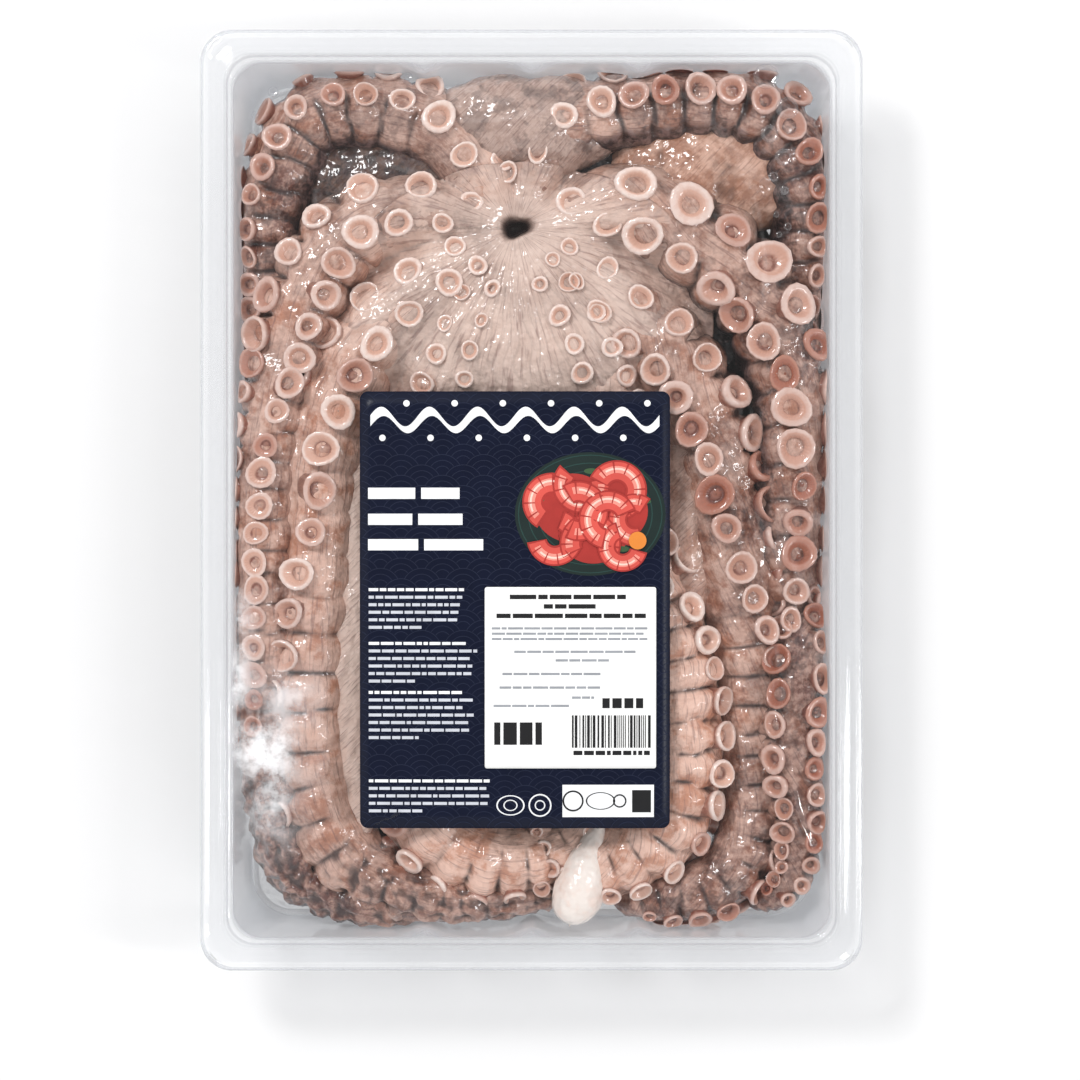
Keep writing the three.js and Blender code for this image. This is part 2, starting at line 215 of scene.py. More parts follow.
def soft_floor(value: Array, floor: Array | float, softness: float) -> Array:
    """The value held above a floor, rounded off: the floor plus the log of one plus e to the rest."""
    return floor + softness * np.logaddexp(0, (value - floor) / softness)


def rolling(points: Array, wavelength: float, seed: int) -> Array:
    """Soft lumps between about -1 and 1: the mean of sine waves that run in random directions.

    Args:
        points: Places, shape ..., 3.
        wavelength: The lumps' usual spacing.
        seed: Seeds the directions and phases.

    Returns:
        One height for each place.
    """
    draw = np.random.default_rng(seed)
    directions = unit(draw.normal(size=(9, 3))) * draw.uniform(0.7, 1.6, (9, 1))
    phases = draw.uniform(0, TURN, 9)
    return 1.8 * np.sin(points @ (directions * TURN / wavelength).T + phases).mean(axis=-1)


def smooth_curve(rows: Array, shares: Array) -> Array:
    """A centripetal Catmull-Rom curve through the rows.

    Each stretch is a cubic whose end slopes weigh its neighbours by the square root of their
    distances, and an end row's missing neighbour is its other neighbour mirrored.

    Args:
        rows: The curve's points, one a row.
        shares: Where to read it, from 0 at the first row to 1 at the last.

    Returns:
        One point for each share.
    """
    padded = np.concatenate((2 * rows[:1] - rows[1:2], rows, 2 * rows[-1:] - rows[-2:-1]))
    place = np.clip(shares, 0, 1) * (len(rows) - 1)
    index = np.minimum(place.astype(int), len(rows) - 2)
    rest = (place - index)[:, None]
    before, start, end, after = (padded[index + k] for k in range(4))
    knots = [np.sqrt(np.linalg.norm(b - a, axis=1, keepdims=True)) + 1e-6
             for a, b in ((before, start), (start, end), (end, after))]
    slope_start = (start - before) / knots[0] - (end - before) / (knots[0] + knots[1])
    slope_start = (slope_start + (end - start) / knots[1]) * knots[1]
    slope_end = (end - start) / knots[1] - (after - start) / (knots[1] + knots[2])
    slope_end = (slope_end + (after - end) / knots[2]) * knots[1]
    square = 3 * (end - start) - 2 * slope_start - slope_end
    cube = 2 * (start - end) + slope_start + slope_end
    return start + rest * (slope_start + rest * (square + rest * cube))


def rounded_loop(half_x: float, half_y: float, radius: float, corner_steps: int, side_steps: int) -> Array:
    """A rounded rectangle, anticlockwise seen from above, as x and y.

    Args:
        half_x: Half its width.
        half_y: Half its length.
        radius: Its corners' radius.
        corner_steps: Steps of arc in each corner.
        side_steps: Steps along each straight side.

    Returns:
        The loop's points, one a row.
    """
    angle = np.linspace(0, math.pi / 2, corner_steps + 1)
    arcs = []
    for quarter, (sign_x, sign_y) in enumerate(((1, 1), (-1, 1), (-1, -1), (1, -1))):
        lean = angle + quarter * math.pi / 2
        middle = np.array((sign_x * (half_x - radius), sign_y * (half_y - radius)))
        arcs.append(middle + radius * np.stack((np.cos(lean), np.sin(lean)), axis=-1))
    parts = []
    for quarter, arc in enumerate(arcs):
        share = np.arange(1, side_steps)[:, None] / side_steps
        parts += [arc, arc[-1] + (arcs[(quarter + 1) % 4][0] - arc[-1]) * share]
    return np.concatenate(parts)


def nested_loops(half: tuple[float, float], radius: float, shares: Array, steps: tuple[int, int]) -> Array:
    """Rounded rectangles one inside the other, each the whole one times its share.

    Args:
        half: Half the whole one's width and length.
        radius: Its corners' radius.
        shares: The share of each loop.
        steps: Steps of arc in each corner, and along each side.

    Returns:
        The loops, shape shares, points, 2.
    """
    return np.array([rounded_loop(half[0] * share, half[1] * share, radius * share, *steps)
                     for share in shares])


# Finishes

class Bench:
    """Adds and links the nodes of one material."""

    def __init__(self, name: str) -> None:
        """Starts an empty material.

        Args:
            name: The material's name.
        """
        self.material = bpy.data.materials.new(name)
        self.material.use_nodes = True
        self.tree = self.material.node_tree
        self.tree.nodes.clear()
        self.output = self.add("ShaderNodeOutputMaterial")

    def add(self, kind: str, sockets: dict[str, object] | None = None, **settings: object) -> bpy.types.Node:
        """Adds a node.

        Args:
            kind: The node's type.
            sockets: Input sockets by name: a value to set, or another node's output to link.
            **settings: The node's own properties.

        Returns:
            The node.
        """
        node = self.tree.nodes.new(kind)
        for key, value in settings.items():
            setattr(node, key, value)
        for key, value in (sockets or {}).items():
            self.feed(node.inputs[key], value)
        return node

    def feed(self, socket: Socket, value: object) -> None:
        """Links an output to a socket, or sets the socket's own value."""
        if isinstance(value, Socket):
            self.tree.links.new(value, socket)
        elif isinstance(value, tuple) and len(value) == 3 and socket.type == "RGBA":
            socket.default_value = (*value, 1)
        else:
            socket.default_value = value

    def value(self, name: str) -> Socket:
        """A value that the mesh carries."""
        return self.add("ShaderNodeAttribute", attribute_name=name).outputs["Fac"]

    def place(self) -> Socket:
        """The place on the piece, in metres."""
        return self.add("ShaderNodeTexCoord").outputs["Object"]

    def noise(self, size_mm: float, detail: float = 3, roughness: float = 0.55) -> Socket:
        """Cloudy noise whose lumps are about size_mm across."""
        sockets = {
            "Vector": self.place(), "Scale": 1 / (size_mm * MM), "Detail": detail, "Roughness": roughness,
        }
        return self.add("ShaderNodeTexNoise", sockets).outputs["Fac"]

    def maths(self, operation: str, first: object, second: object = 0.0) -> Socket:
        """One step of arithmetic."""
        node = self.add("ShaderNodeMath", operation=operation)
        self.feed(node.inputs[0], first)
        self.feed(node.inputs[1], second)
        return node.outputs[0]

    def plus(self, first: object, second: object) -> Socket:
        """The sum of two values."""
        return self.maths("ADD", first, second)

    def times(self, first: object, second: object) -> Socket:
        """The product of two values."""
        return self.maths("MULTIPLY", first, second)

    def ramp(self, value: Socket, low: float, high: float) -> Socket:
        """A value spread from 0 at low to 1 at high, smoothly."""
        sockets = {"Value": value, "From Min": low, "From Max": high}
        return self.add("ShaderNodeMapRange", sockets, interpolation_type="SMOOTHSTEP").outputs["Result"]

    def blend(self, share: object, first: object, second: object, how: str = "MIX") -> Socket:
        """Two colours blended by a share.

        Args:
            share: How much of the second shows, a number or a node's output.
            first: The colour at a share of 0.
            second: The colour at a share of 1.
            how: Blender's name for the way to blend.

        Returns:
            The blended colour.
        """
        node = self.add("ShaderNodeMix", data_type="RGBA", blend_type=how)
        self.feed(node.inputs["Factor"], share)
        self.feed(node.inputs[6], first)
        self.feed(node.inputs[7], second)
        return node.outputs[2]

    def bump(self, height: Socket, depth_mm: float, normal: Socket | None = None) -> Socket:
        """A bump of a height's pattern.

        Args:
            height: The pattern, from 0 to 1.
            depth_mm: How deep it goes.
            normal: The bump that it adds to, if any.

        Returns:
            The bumped normal.
        """
        sockets = {"Height": height, "Distance": depth_mm * MM, "Strength": 1.0}
        if normal is not None:
            sockets["Normal"] = normal
        return self.add("ShaderNodeBump", sockets).outputs["Normal"]

    def mix(self, share: object, first: bpy.types.Node, second: bpy.types.Node) -> bpy.types.Node:
        """Two shaders mixed by a share."""
        node = self.add("ShaderNodeMixShader", {"Fac": share})
        self.tree.links.new(first.outputs[0], node.inputs[1])
        self.tree.links.new(second.outputs[0], node.inputs[2])
        return node

    def done(self, shader: bpy.types.Node) -> bpy.types.Material:
        """Ends the material with a shader."""
        self.tree.links.new(shader.outputs[0], self.output.inputs["Surface"])
        return self.material


def linear(hex_colour: str) -> Colour:
    """A colour written as six hex digits, as linear light."""
    parts = [int(hex_colour[k:k + 2], 16) / 255 for k in (0, 2, 4)]
    return tuple(part / 12.92 if part <= 0.04045 else ((part + 0.055) / 1.055) ** 2.4 for part in parts)


@dataclass(frozen=True)
class SkinFinish:
    """Wet octopus skin: pale flesh on the sucker side, mottled grey-brown on the back.

    The mesh gives oral, 1 on the sucker side; a painted-shade value, 1 in the deepest folds and
    hollows and on the undersides, where the skin darkens to the fold colour as painted shade; tone,
    from 0 for pale pink to 1 for dark skin; pale, 1 on the web; and run and around, the distances
    along the flesh and across it, in millimetres, that its fibres follow.
    """

    name: str
    flesh: Colour
    flesh_warm: Colour
    web: Colour
    hair: Colour
    back: Colour
    back_dark: Colour
    shade: Colour
    stain: Colour
    # fold: the colour of painted shade in folds, hollows and undersides.
    fold: Colour
    wrinkle_mm: float = 1.1
    wrinkle_depth_mm: float = 0.3
    fibre_depth_mm: float = 0.3
    hair_share: float = 0.5

    def fibres(self, bench: Bench) -> Socket:
        """Noise drawn out along the flesh."""
        way = bench.add("ShaderNodeCombineXYZ", {
            "X": bench.times(bench.value("run"), 0.085),
            "Y": bench.times(bench.value("around"), 0.95),
        })
        sockets = {"Vector": way.outputs[0], "Scale": 1.0, "Detail": 2, "Roughness": 0.7}
        return bench.add("ShaderNodeTexNoise", sockets).outputs["Fac"]

    def colour(self, bench: Bench, fibres: Socket, mottle: Socket) -> Socket:
        """The skin's colour.

        Args:
            bench: The material's bench.
            fibres: The noise along the flesh.
            mottle: The fine noise.

        Returns:
            The colour, as a node's output.
        """
        oral, tone = bench.value("oral"), bench.value("tone")
        cloud = bench.noise(11, 2, 0.6)
        patch = bench.noise(8, 3, 0.7)
        warmth = bench.plus(cloud, bench.times(mottle, 0.5))
        flesh = bench.blend(bench.ramp(warmth, 0.68, 0.92), self.flesh, self.flesh_warm)
        flesh = bench.blend(bench.value("pale"), flesh, self.web)
        streak = bench.times(bench.ramp(fibres, 0.5, 0.68), self.hair_share)
        flesh = bench.blend(streak, flesh, self.hair)
        back = bench.blend(bench.ramp(mottle, 0.4, 0.62), self.back, self.back_dark)
        uneven = bench.times(bench.maths("SUBTRACT", mottle, 0.5), 0.8)
        side = bench.ramp(bench.plus(oral, uneven), 0.25, 0.75)
        skin = bench.blend(side, back, flesh)
        cover = bench.plus(0.55, bench.times(bench.ramp(mottle, 0.3, 0.65), 0.45))
        skin = bench.blend(bench.times(tone, cover), skin, self.shade, "MULTIPLY")
        bare = bench.maths("SUBTRACT", 1.5, oral)
        stained = bench.times(bench.ramp(patch, 0.5, 0.6), bench.times(bare, tone))
        skin = bench.blend(stained, skin, self.stain)
        # Painted shade: the skin darkens to the fold colour where the mesh marks folds, hollows and
        # undersides.
        dent = bench.times(bench.ramp(bench.value("dent"), 0.1, 0.9), 0.9)
        return bench.blend(dent, skin, self.fold)

    def build(self) -> bpy.types.Material:
        """Makes the material."""
        bench = Bench(self.name)
        fibres = self.fibres(bench)
        mottle = bench.noise(3.0, 3, 0.65)
        soft = bench.bump(bench.noise(3.6, 1, 0.5), 1.0)
        normal = bench.bump(bench.noise(self.wrinkle_mm, 2, 0.6), self.wrinkle_depth_mm, soft)
        normal = bench.bump(fibres, self.fibre_depth_mm, normal)
        gloss = bench.add("ShaderNodeMapRange", {"Value": mottle, "To Min": 0.28, "To Max": 0.45})
        return bench.done(bench.add("ShaderNodeBsdfPrincipled", {
            "Base Color": self.colour(bench, fibres, mottle), "Roughness": gloss.outputs["Result"],
            "Normal": normal, "Specular IOR Level": 0.3,
            "Coat Weight": 0.9, "Coat Roughness": 0.07, "Coat Normal": soft,
        }))


@dataclass(frozen=True)
class SuckerFinish:
    """Sucker flesh: a pink stalk, a plump pale rim and a warm cup.

    The stalk's colour is darkened as painted shade, the pale rim is partly brightened as a painted
    highlight, and the dark pit ring on the cup's inner wall is painted shade. The mesh gives cup,
    from 0 at the stalk's foot over 0.5 at the rim to 1 in the middle; tone; and spoke_x and
    spoke_y, the way out from the cup's middle.
    """

    name: str
    stalk: Colour
    rim: Colour
    slope: Colour
    pit: Colour
    middle: Colour
    shade: Colour
    spokes: int = 22

    def build(self) -> bpy.types.Material:
        """Makes the material."""
        bench = Bench(self.name)
        cup, tone = bench.value("cup"), bench.value("tone")
        mottle = bench.noise(2.4, 3, 0.6)
        # Painted light: the stalk is darkened as painted shade, the rim partly brightened as a painted
        # highlight, and the pit ring is painted shade.
        colour = bench.blend(bench.ramp(cup, 0.15, 0.42), self.stalk, self.rim)
        colour = bench.blend(bench.ramp(cup, 0.48, 0.6), colour, self.slope)
        colour = bench.blend(bench.ramp(cup, 0.72, 0.8), colour, self.pit)
        colour = bench.blend(bench.ramp(cup, 0.86, 1.0), colour, self.middle)
        blush = bench.times(bench.ramp(mottle, 0.42, 0.66), 0.35)
        colour = bench.blend(blush, colour, self.slope)
        colour = bench.blend(tone, colour, self.shade, "MULTIPLY")
        angle = bench.maths("ARCTAN2", bench.value("spoke_y"), bench.value("spoke_x"))
        folds = bench.maths("SINE", bench.times(angle, float(self.spokes)))
        folds = bench.times(folds, bench.ramp(cup, 0.5, 0.64))
        normal = bench.bump(folds, 0.03)
        normal = bench.bump(bench.noise(1.2, 1, 0.6), 0.12, normal)
        return bench.done(bench.add("ShaderNodeBsdfPrincipled", {
            "Base Color": colour, "Roughness": 0.3, "Normal": normal,
            "Specular IOR Level": 0.35, "Coat Weight": 1.0, "Coat Roughness": 0.06,
        }))


@dataclass(frozen=True)
class ClearFinish:
    """Clear plastic: see-through straight on, glossy and a little milky where it turns away.

    The milk is part white paint and part emission, painted light that stands in for light scattered
    in the plastic. Where it turns away, the see-through tint darkens to the edge colour as painted
    shade for the dark lines that refraction draws. The mesh may give frost, which adds to the milk.
    """

    name: str
    tint: Colour
    edge: Colour
    milk: Colour
    milk_share: float
    milk_edge: float
    painted_glow: float
    roughness: float
    mirror: float
    frosted: bool = False

    def build(self) -> bpy.types.Material:
        """Makes the material."""
        bench = Bench(self.name)
        facing = bench.add("ShaderNodeLayerWeight", {"Blend": 0.5}).outputs["Facing"]
        # Painted shade: the see-through tint darkens to the edge colour where the plastic turns away.
        tint = bench.blend(bench.ramp(facing, 0.02, 0.7), self.tint, self.edge)
        clear = bench.add("ShaderNodeBsdfTransparent", {"Color": tint})
        paint = bench.add("ShaderNodeBsdfDiffuse", {"Color": self.milk})
        # Painted light: the milk's emission stands in for light scattered in the plastic.
        light = bench.add("ShaderNodeEmission", {"Color": self.milk, "Strength": self.painted_glow})
        milk = bench.add("ShaderNodeAddShader")
        bench.tree.links.new(paint.outputs[0], milk.inputs[0])
        bench.tree.links.new(light.outputs[0], milk.inputs[1])
        share = bench.add("ShaderNodeMapRange", {
            "Value": bench.maths("POWER", facing, 3.0), "To Min": self.milk_share, "To Max": self.milk_edge,
        }).outputs["Result"]
        if self.frosted:
            grain = bench.ramp(bench.noise(10, 4, 0.62), 0.3, 0.66)
            share = bench.plus(share, bench.times(bench.value("frost"), grain))
        body = bench.mix(share, clear, milk)
        gloss = bench.add("ShaderNodeBsdfAnisotropic", {"Roughness": self.roughness})
        mirror = bench.add("ShaderNodeMapRange", {
            "Value": bench.maths("POWER", facing, 5.0), "To Min": self.mirror, "To Max": 1.0,
        })
        return bench.done(bench.mix(mirror.outputs[0], body, gloss))


@dataclass(frozen=True)
class PaperFinish:
    """Printed paper or ink: an even colour with slight clouding and the grain of the sheet."""

    name: str
    colour: Colour
    roughness: float
    clouding: float = 0.06
    specular: float = 0.3

    def build(self) -> bpy.types.Material:
        """Makes the material."""
        bench = Bench(self.name)
        cloud = bench.noise(9, 3, 0.5)
        deeper = tuple(part * (1 - 2 * self.clouding) for part in self.colour)
        colour = bench.blend(bench.ramp(cloud, 0.35, 0.65), self.colour, deeper)
        normal = bench.bump(bench.noise(0.7, 3, 0.6), 0.015)
        return bench.done(bench.add("ShaderNodeBsdfPrincipled", {
            "Base Color": colour, "Roughness": self.roughness, "Normal": normal,
            "Specular IOR Level": self.specular,
        }))


# In each skin finish below, fold is the colour of painted shade in folds, hollows and undersides.
ARM_SKIN = SkinFinish(
    "arm_skin", flesh=linear("F1C8B5"), flesh_warm=linear("D0957A"), web=linear("DFC8BB"),
    hair=linear("84605A"), back=linear("957A75"), back_dark=linear("4E3C3B"), shade=linear("694A46"),
    stain=linear("2A1D1F"), fold=linear("33201F"),
)
DARK_SKIN = SkinFinish(
    "back_skin", flesh=linear("E2B6A0"), flesh_warm=linear("B8846A"), web=linear("D9B7A8"),
    hair=linear("8A5C48"), back=linear("645050"), back_dark=linear("2A2225"), shade=linear("5C4642"),
    stain=linear("151216"), fold=linear("171317"),
)
LOBE_SKIN = SkinFinish(
    "pale_lobe", flesh=linear("FBF0E7"), flesh_warm=linear("F8E4D8"), web=linear("FBF0E7"),
    hair=linear("F1DACB"), back=linear("F0DCD0"), back_dark=linear("EED9CC"), shade=linear("FFFFFF"),
    stain=linear("EED9CC"), fold=linear("C8A898"), wrinkle_mm=3.0, wrinkle_depth_mm=0.08,
    fibre_depth_mm=0.04, hair_share=0.15,
)
# The sucker's stalk and pit colours are darkened as painted shade, and its rim is partly brightened as a
# painted highlight.
SUCKER_FLESH = SuckerFinish(
    "sucker_flesh", stalk=linear("9A6352"), rim=linear("F6E2D8"), slope=linear("E2B7A3"),
    pit=linear("8E5644"), middle=linear("D9B4A4"), shade=linear("BF9384"),
)
# The plastics' emission strengths are painted light for scattered light, and their edge colours are painted
# shade at grazing angles.
TRAY_PLASTIC = ClearFinish(
    "tray_plastic", tint=(0.965, 0.968, 0.972), edge=(0.7, 0.715, 0.74), milk=(0.93, 0.935, 0.945),
    milk_share=0.15, milk_edge=0.75, painted_glow=0.33, roughness=0.06, mirror=0.04,
)
FILM_PLASTIC = ClearFinish(
    "clear_film", tint=(0.996, 0.996, 1.0), edge=(0.82, 0.83, 0.85), milk=(0.95, 0.95, 0.97),
    milk_share=0.0, milk_edge=0.1, painted_glow=0.0, roughness=0.05, mirror=0.075,
)
FROSTED_FILM = ClearFinish(
    "frosted_film", tint=(0.998, 0.998, 1.0), edge=(0.95, 0.95, 0.96), milk=(0.95, 0.96, 0.98),
    milk_share=0.0, milk_edge=0.05, painted_glow=0.1, roughness=0.12, mirror=0.03, frosted=True,
)


# The room inside the pack

@dataclass(frozen=True)
class PackRoom:
    """The room between tray and film, in millimetres.

    Attributes:
        flange_z: Height of the tray's sealing flange.
        half_x: Half the room's width at the flange.
        half_y: Half its length at the flange.
        corner: Radius of its corners.
        draft: How far each wall leans in from flange to base.
        wall: Thickness of the tray.
        step: Width of the step under the flange.
        rise: Rise of the film in the middle.
        power: How squarely the film rises.
        rib_pitch: Distance between the ribs of the end walls.
        rib_depth: How far the ribs stand in.
        rib_width: Half a rib's width where it has sunk to a third.
        rib_reach: How far across the end walls the ribs go.
        base_gap: Least distance of the flesh from the tray's base.
        wall_gap: Its further distance from the walls.
        corner_gap: How much rounder its corners are than the room's.
    """

    flange_z: float
    half_x: float = 103.7
    half_y: float = 151.2
    corner: float = 9.5
    draft: float = 5.0
    wall: float = 0.8
    step: float = 1.8
    rise: float = 6.0
    power: float = 3.0
    rib_pitch: float = 37.0
    rib_depth: float = 2.4
    rib_width: float = 5.2
    rib_reach: float = 62.0
    base_gap: float = 0.6
    wall_gap: float = 0.5
    corner_gap: float = 4.0

    def rib(self, x: Array) -> Array:
        """How far the end walls' ribs stand in at places across: a bell a pitch apart."""
        beat = (x / self.rib_pitch + 0.5) % 1 - 0.5
        bell = np.exp(-((beat * self.rib_pitch) / self.rib_width) ** 2)
        return self.rib_depth * bell * (np.abs(x) < self.rib_reach)

    def film_height(self, x: Array, y: Array) -> Array:
        """Height of the film: the flange plus the rise, less a power of each share of the half size."""
        across = np.minimum(1, np.abs(x) / self.half_x) ** self.power
        along = np.minimum(1, np.abs(y) / self.half_y) ** self.power
        return self.flange_z + self.rise * (1 - across) * (1 - along)

    def press(self, points: Array, clearance: float = 1.0, softness: float = 0.9) -> Array:
        """Presses flesh into the room, flat against film, base and walls where it would pass them.

        Args:
            points: Places, shape ..., 3.
            clearance: Least distance from the film and walls.
            softness: How gently the flesh flattens.

        Returns:
            The places, moved in.
        """
        x, y, z = (points[..., k] for k in range(3))
        low = self.wall + self.base_gap
        z = soft_floor(z, low, softness)
        lean = self.draft + (self.step - self.draft) * np.clip(z / self.flange_z, 0, 1) + self.wall_gap
        corner = self.corner + self.corner_gap
        over_x = np.abs(x) - (self.half_x - lean - corner)
        over_y = np.abs(y) - (self.half_y - lean - corner - self.rib(x))
        away = np.hypot(np.maximum(over_x, 0), np.maximum(over_y, 0))
        past = np.where((over_x > 0) | (over_y > 0), away - corner, -corner)
        push = softness * np.logaddexp(0, past / softness)
        reach = np.maximum(away, 1e-6)
        x = x - np.sign(x) * push * np.maximum(over_x, 0) / reach
        y = y - np.sign(y) * push * np.maximum(over_y, 0) / reach
        ceiling = self.film_height(x, y) - clearance
        z = ceiling - softness * np.logaddexp(0, (ceiling - z) / softness)
        return np.stack((x, y, np.maximum(z, low)), axis=-1)


# The octopus

@dataclass(frozen=True)
class Course:
    """An arm's way at even stations: places, directions and sizes, in millimetres and radians."""

    distance: Array
    at: Array
    along: Array
    outward: Array
    up: Array
    width: Array
    facing: Array

    def pick(self, where: Array) -> "Course":
        """The way at chosen distances, read between its stations."""
        def read(values: Array) -> Array:
            """One column or more, read at the chosen distances."""
            if values.ndim == 1:
                return np.interp(where, self.distance, values)
            return np.stack([np.interp(where, self.distance, column) for column in values.T], axis=-1)
        return Course(where, read(self.at), unit(read(self.along)), unit(read(self.outward)),
                      unit(read(self.up)), read(self.width), read(self.facing))


@dataclass(frozen=True)
class Cup:
    """A sucker's outline: rings from the foot of its stalk over the rim to the bottom of its cup.

    Attributes:
        reach: Each ring's radius, as a share of the sucker's.
        height: Each ring's height, as a share of the sucker's radius.
        colour: Each ring's place in the finish, 0 at the stalk's foot and 1 in the middle.
        sides: Points round each ring.
        lip: The first ring that lies inside the rim.
        depth: Height of the cup's middle, as a share of the sucker's radius.
    """

    reach: tuple[float, ...] = (0.8, 0.78, 0.96, 1.0, 0.93, 0.82, 0.68, 0.53, 0.38, 0.24)
    height: tuple[float, ...] = (-0.9, -0.1, 0.2, 0.42, 0.56, 0.52, 0.36, 0.22, -0.04, 0.0)
    colour: tuple[float, ...] = (0.0, 0.06, 0.24, 0.4, 0.46, 0.54, 0.64, 0.72, 0.8, 0.92)
    sides: int = 14
    lip: int = 5
    depth: float = 0.12


@dataclass
class Arm:
    """One arm with its two rows of suckers.

    Attributes:
        name: The piece's name.
        way: Rows of x, y, z, half width and facing in degrees, from the mouth to the tip.
        turn: 1 where outwards is to the arm's right, -1 where it is to its left.
        sucker: A sucker's radius, as a share of the half width.
        pitch: Distance between a row's suckers, as a multiple of their radius.
        darkness: How dark the arm's skin is, from 0 to 1.
        inner_fold: How deep the finger-like folds are on the inner side where the suckers face up.
        bare: How far round from the suckers the skin stays pale, inwards and outwards, in radians.
        seed: Seeds its unevenness.
        dark_tip: How much darker its last part is.
        last_sucker: How far along the arm its suckers show; beyond, the skin is knobbly.
        step: Distance between stations.
        sides: Points round the skin.
        tallness: The section's half height, as a multiple of its half width.
        row_spread: How far each row of suckers leans from the middle between them, in radians.
        finger_depth: Depth of the folds beside the suckers, as a share of the half width.
        tip_round: Length of the rounded tip, as a multiple of the last half width.
        least_spacing: Least distance between suckers.
        first_sucker: How far along the arm its suckers begin.
        root_radius: Least radius of a sucker near the mouth.
        least_radius: Least radius of the others.
    """

    name: str
    way: tuple[tuple[float, ...], ...]
    turn: int
    sucker: float
    pitch: float
    darkness: float
    inner_fold: float
    bare: tuple[float, float]
    seed: int
    dark_tip: float = 0.0
    last_sucker: float = 999.0
    step: float = 1.5
    sides: int = 56
    tallness: float = 1.14
    row_spread: float = math.radians(27)
    finger_depth: float = 0.27
    tip_round: float = 1.6
    least_spacing: float = 2.4
    first_sucker: float = 7.0
    root_radius: float = 3.1
    least_radius: float = 0.9

    def course(self) -> Course:
        """The arm's way at even stations, with its tip rounded off."""
        rows = np.array(self.way, dtype=float)
        shares = np.linspace(0, 1, 1500)
        at = smooth_curve(rows[:, :3], shares)
        size = smooth_curve(rows[:, 3:], shares)
        travelled = np.concatenate(([0], np.cumsum(np.linalg.norm(np.diff(at, axis=0), axis=1))))
        length = travelled[-1]
        even = np.linspace(0, length, int(length / self.step) + 1)
        at = np.stack([np.interp(even, travelled, column) for column in at.T], axis=-1)
        width = np.interp(even, travelled, size[:, 0])
        facing = np.radians(np.interp(even, travelled, size[:, 1]))
        rounded = width[-1] * self.tip_round
        tip = np.clip((even - (length - rounded)) / rounded, 0, 0.985)
        width = width * np.sqrt(1 - tip ** 2)
        along = unit(np.gradient(at, axis=0))
        right = unit(np.cross(along, (0, 0, 1)))
        up = np.cross(right, along)
        return Course(even, at, along, right * self.turn, up, width, facing)

    def beat(self, course: Course) -> Array:
        """How many sucker spacings lie behind each station; they are wider near the mouth."""
        spacing = np.maximum(course.width * self.sucker * self.pitch, self.least_spacing)
        spacing = spacing * (1 + 0.9 * np.exp(-(course.distance / 40) ** 2))
        return np.cumsum(np.gradient(course.distance) / spacing)

    def section(self, course: Course, lean: Array) -> tuple[Array, Array]:
        """Directions and reach of an oval section at each lean from straight up.

        Args:
            course: The stations.
            lean: Angles of shape stations, points.

        Returns:
            Directions of shape stations, points, 3, and distances from the middle.
        """
        cosine, sine = np.cos(lean)[..., None], np.sin(lean)[..., None]
        direction = course.up[:, None] * cosine + course.outward[:, None] * sine
        width = course.width[:, None]
        reach = 1 / np.hypot(np.cos(lean) / (width * self.tallness), np.sin(lean) / width)
        return direction, reach

    def shading(self, distance: Array) -> Array:
        """How dark the skin is at distances along the arm: more so towards the tip of a dark arm."""
        return (self.darkness * (0.6 + 0.4 * smooth_step(40, 110, distance))
                + self.dark_tip * smooth_step(180, 290, distance))

    def skin(self, course: Course) -> Surface:
        """The arm's skin: an oval tube with a finger-like fold beside each sucker.

        The folds are the square root of a cosine that peaks at each sucker, deepest halfway down
        the side. A swell lifts the skin under each sucker, and a shallow furrow parts the rows.
        """
        lean = math.pi - np.arange(self.sides)[::-1] / self.sides * TURN * self.turn
        lean = np.broadcast_to(lean, (len(course.distance), self.sides))
        direction, reach = self.section(course, lean)
        off = (lean - course.facing[:, None] + math.pi) % TURN - math.pi
        beat = self.beat(course)[:, None]
        phase = np.where(off > 0, beat, beat + 0.5)
        places = course.at[:, None] + direction * reach[..., None]
        wander = 0.12 * rolling(places, 14, self.seed)
        crest = np.sqrt(np.abs(np.cos(math.pi * (phase + wander))) + 0.02)
        beside = smooth_step(0.2, 0.6, np.abs(off)) * (1 - smooth_step(1.35, 2.1, np.abs(off)))
        inner = np.maximum(self.inner_fold, smooth_step(0.4, 1.1, course.facing))[:, None]
        beside = beside * np.where(off > 0, 1, inner) * smooth_step(25, 60, course.distance)[:, None]
        width = course.width[:, None]
        fold = self.finger_depth * width * beside * (crest - 0.75)
        swell = np.exp(-((np.abs(off) - self.row_spread) / 0.42) ** 2) * (crest - 0.6) * 0.1 * width
        furrow = -0.07 * width * np.exp(-(off / 0.22) ** 2)
        lumps = 0.035 * width * rolling(places, 17, self.seed + 1)
        lumps = lumps + 0.18 * rolling(places, 3.4, self.seed + 2)
        back = smooth_step(1.4, 2.2, np.abs(off))
        knobbly = smooth_step(self.last_sucker - 10, self.last_sucker + 20, course.distance)[:, None]
        knuckles = np.sqrt(np.maximum(rolling(places, 6.5, self.seed + 5) + 0.25, 0.0))
        lumps = lumps + 1.7 * knobbly * (knuckles - 0.4)
        swing = course.distance[:, None] / 1.7 + 2 * rolling(places, 20, self.seed + 3)
        rings = 0.016 * width * np.sin(swing)
        reach = reach + fold + swell + furrow + lumps + rings * (0.3 + 0.7 * back)
        points = course.at[:, None] + direction * reach[..., None]
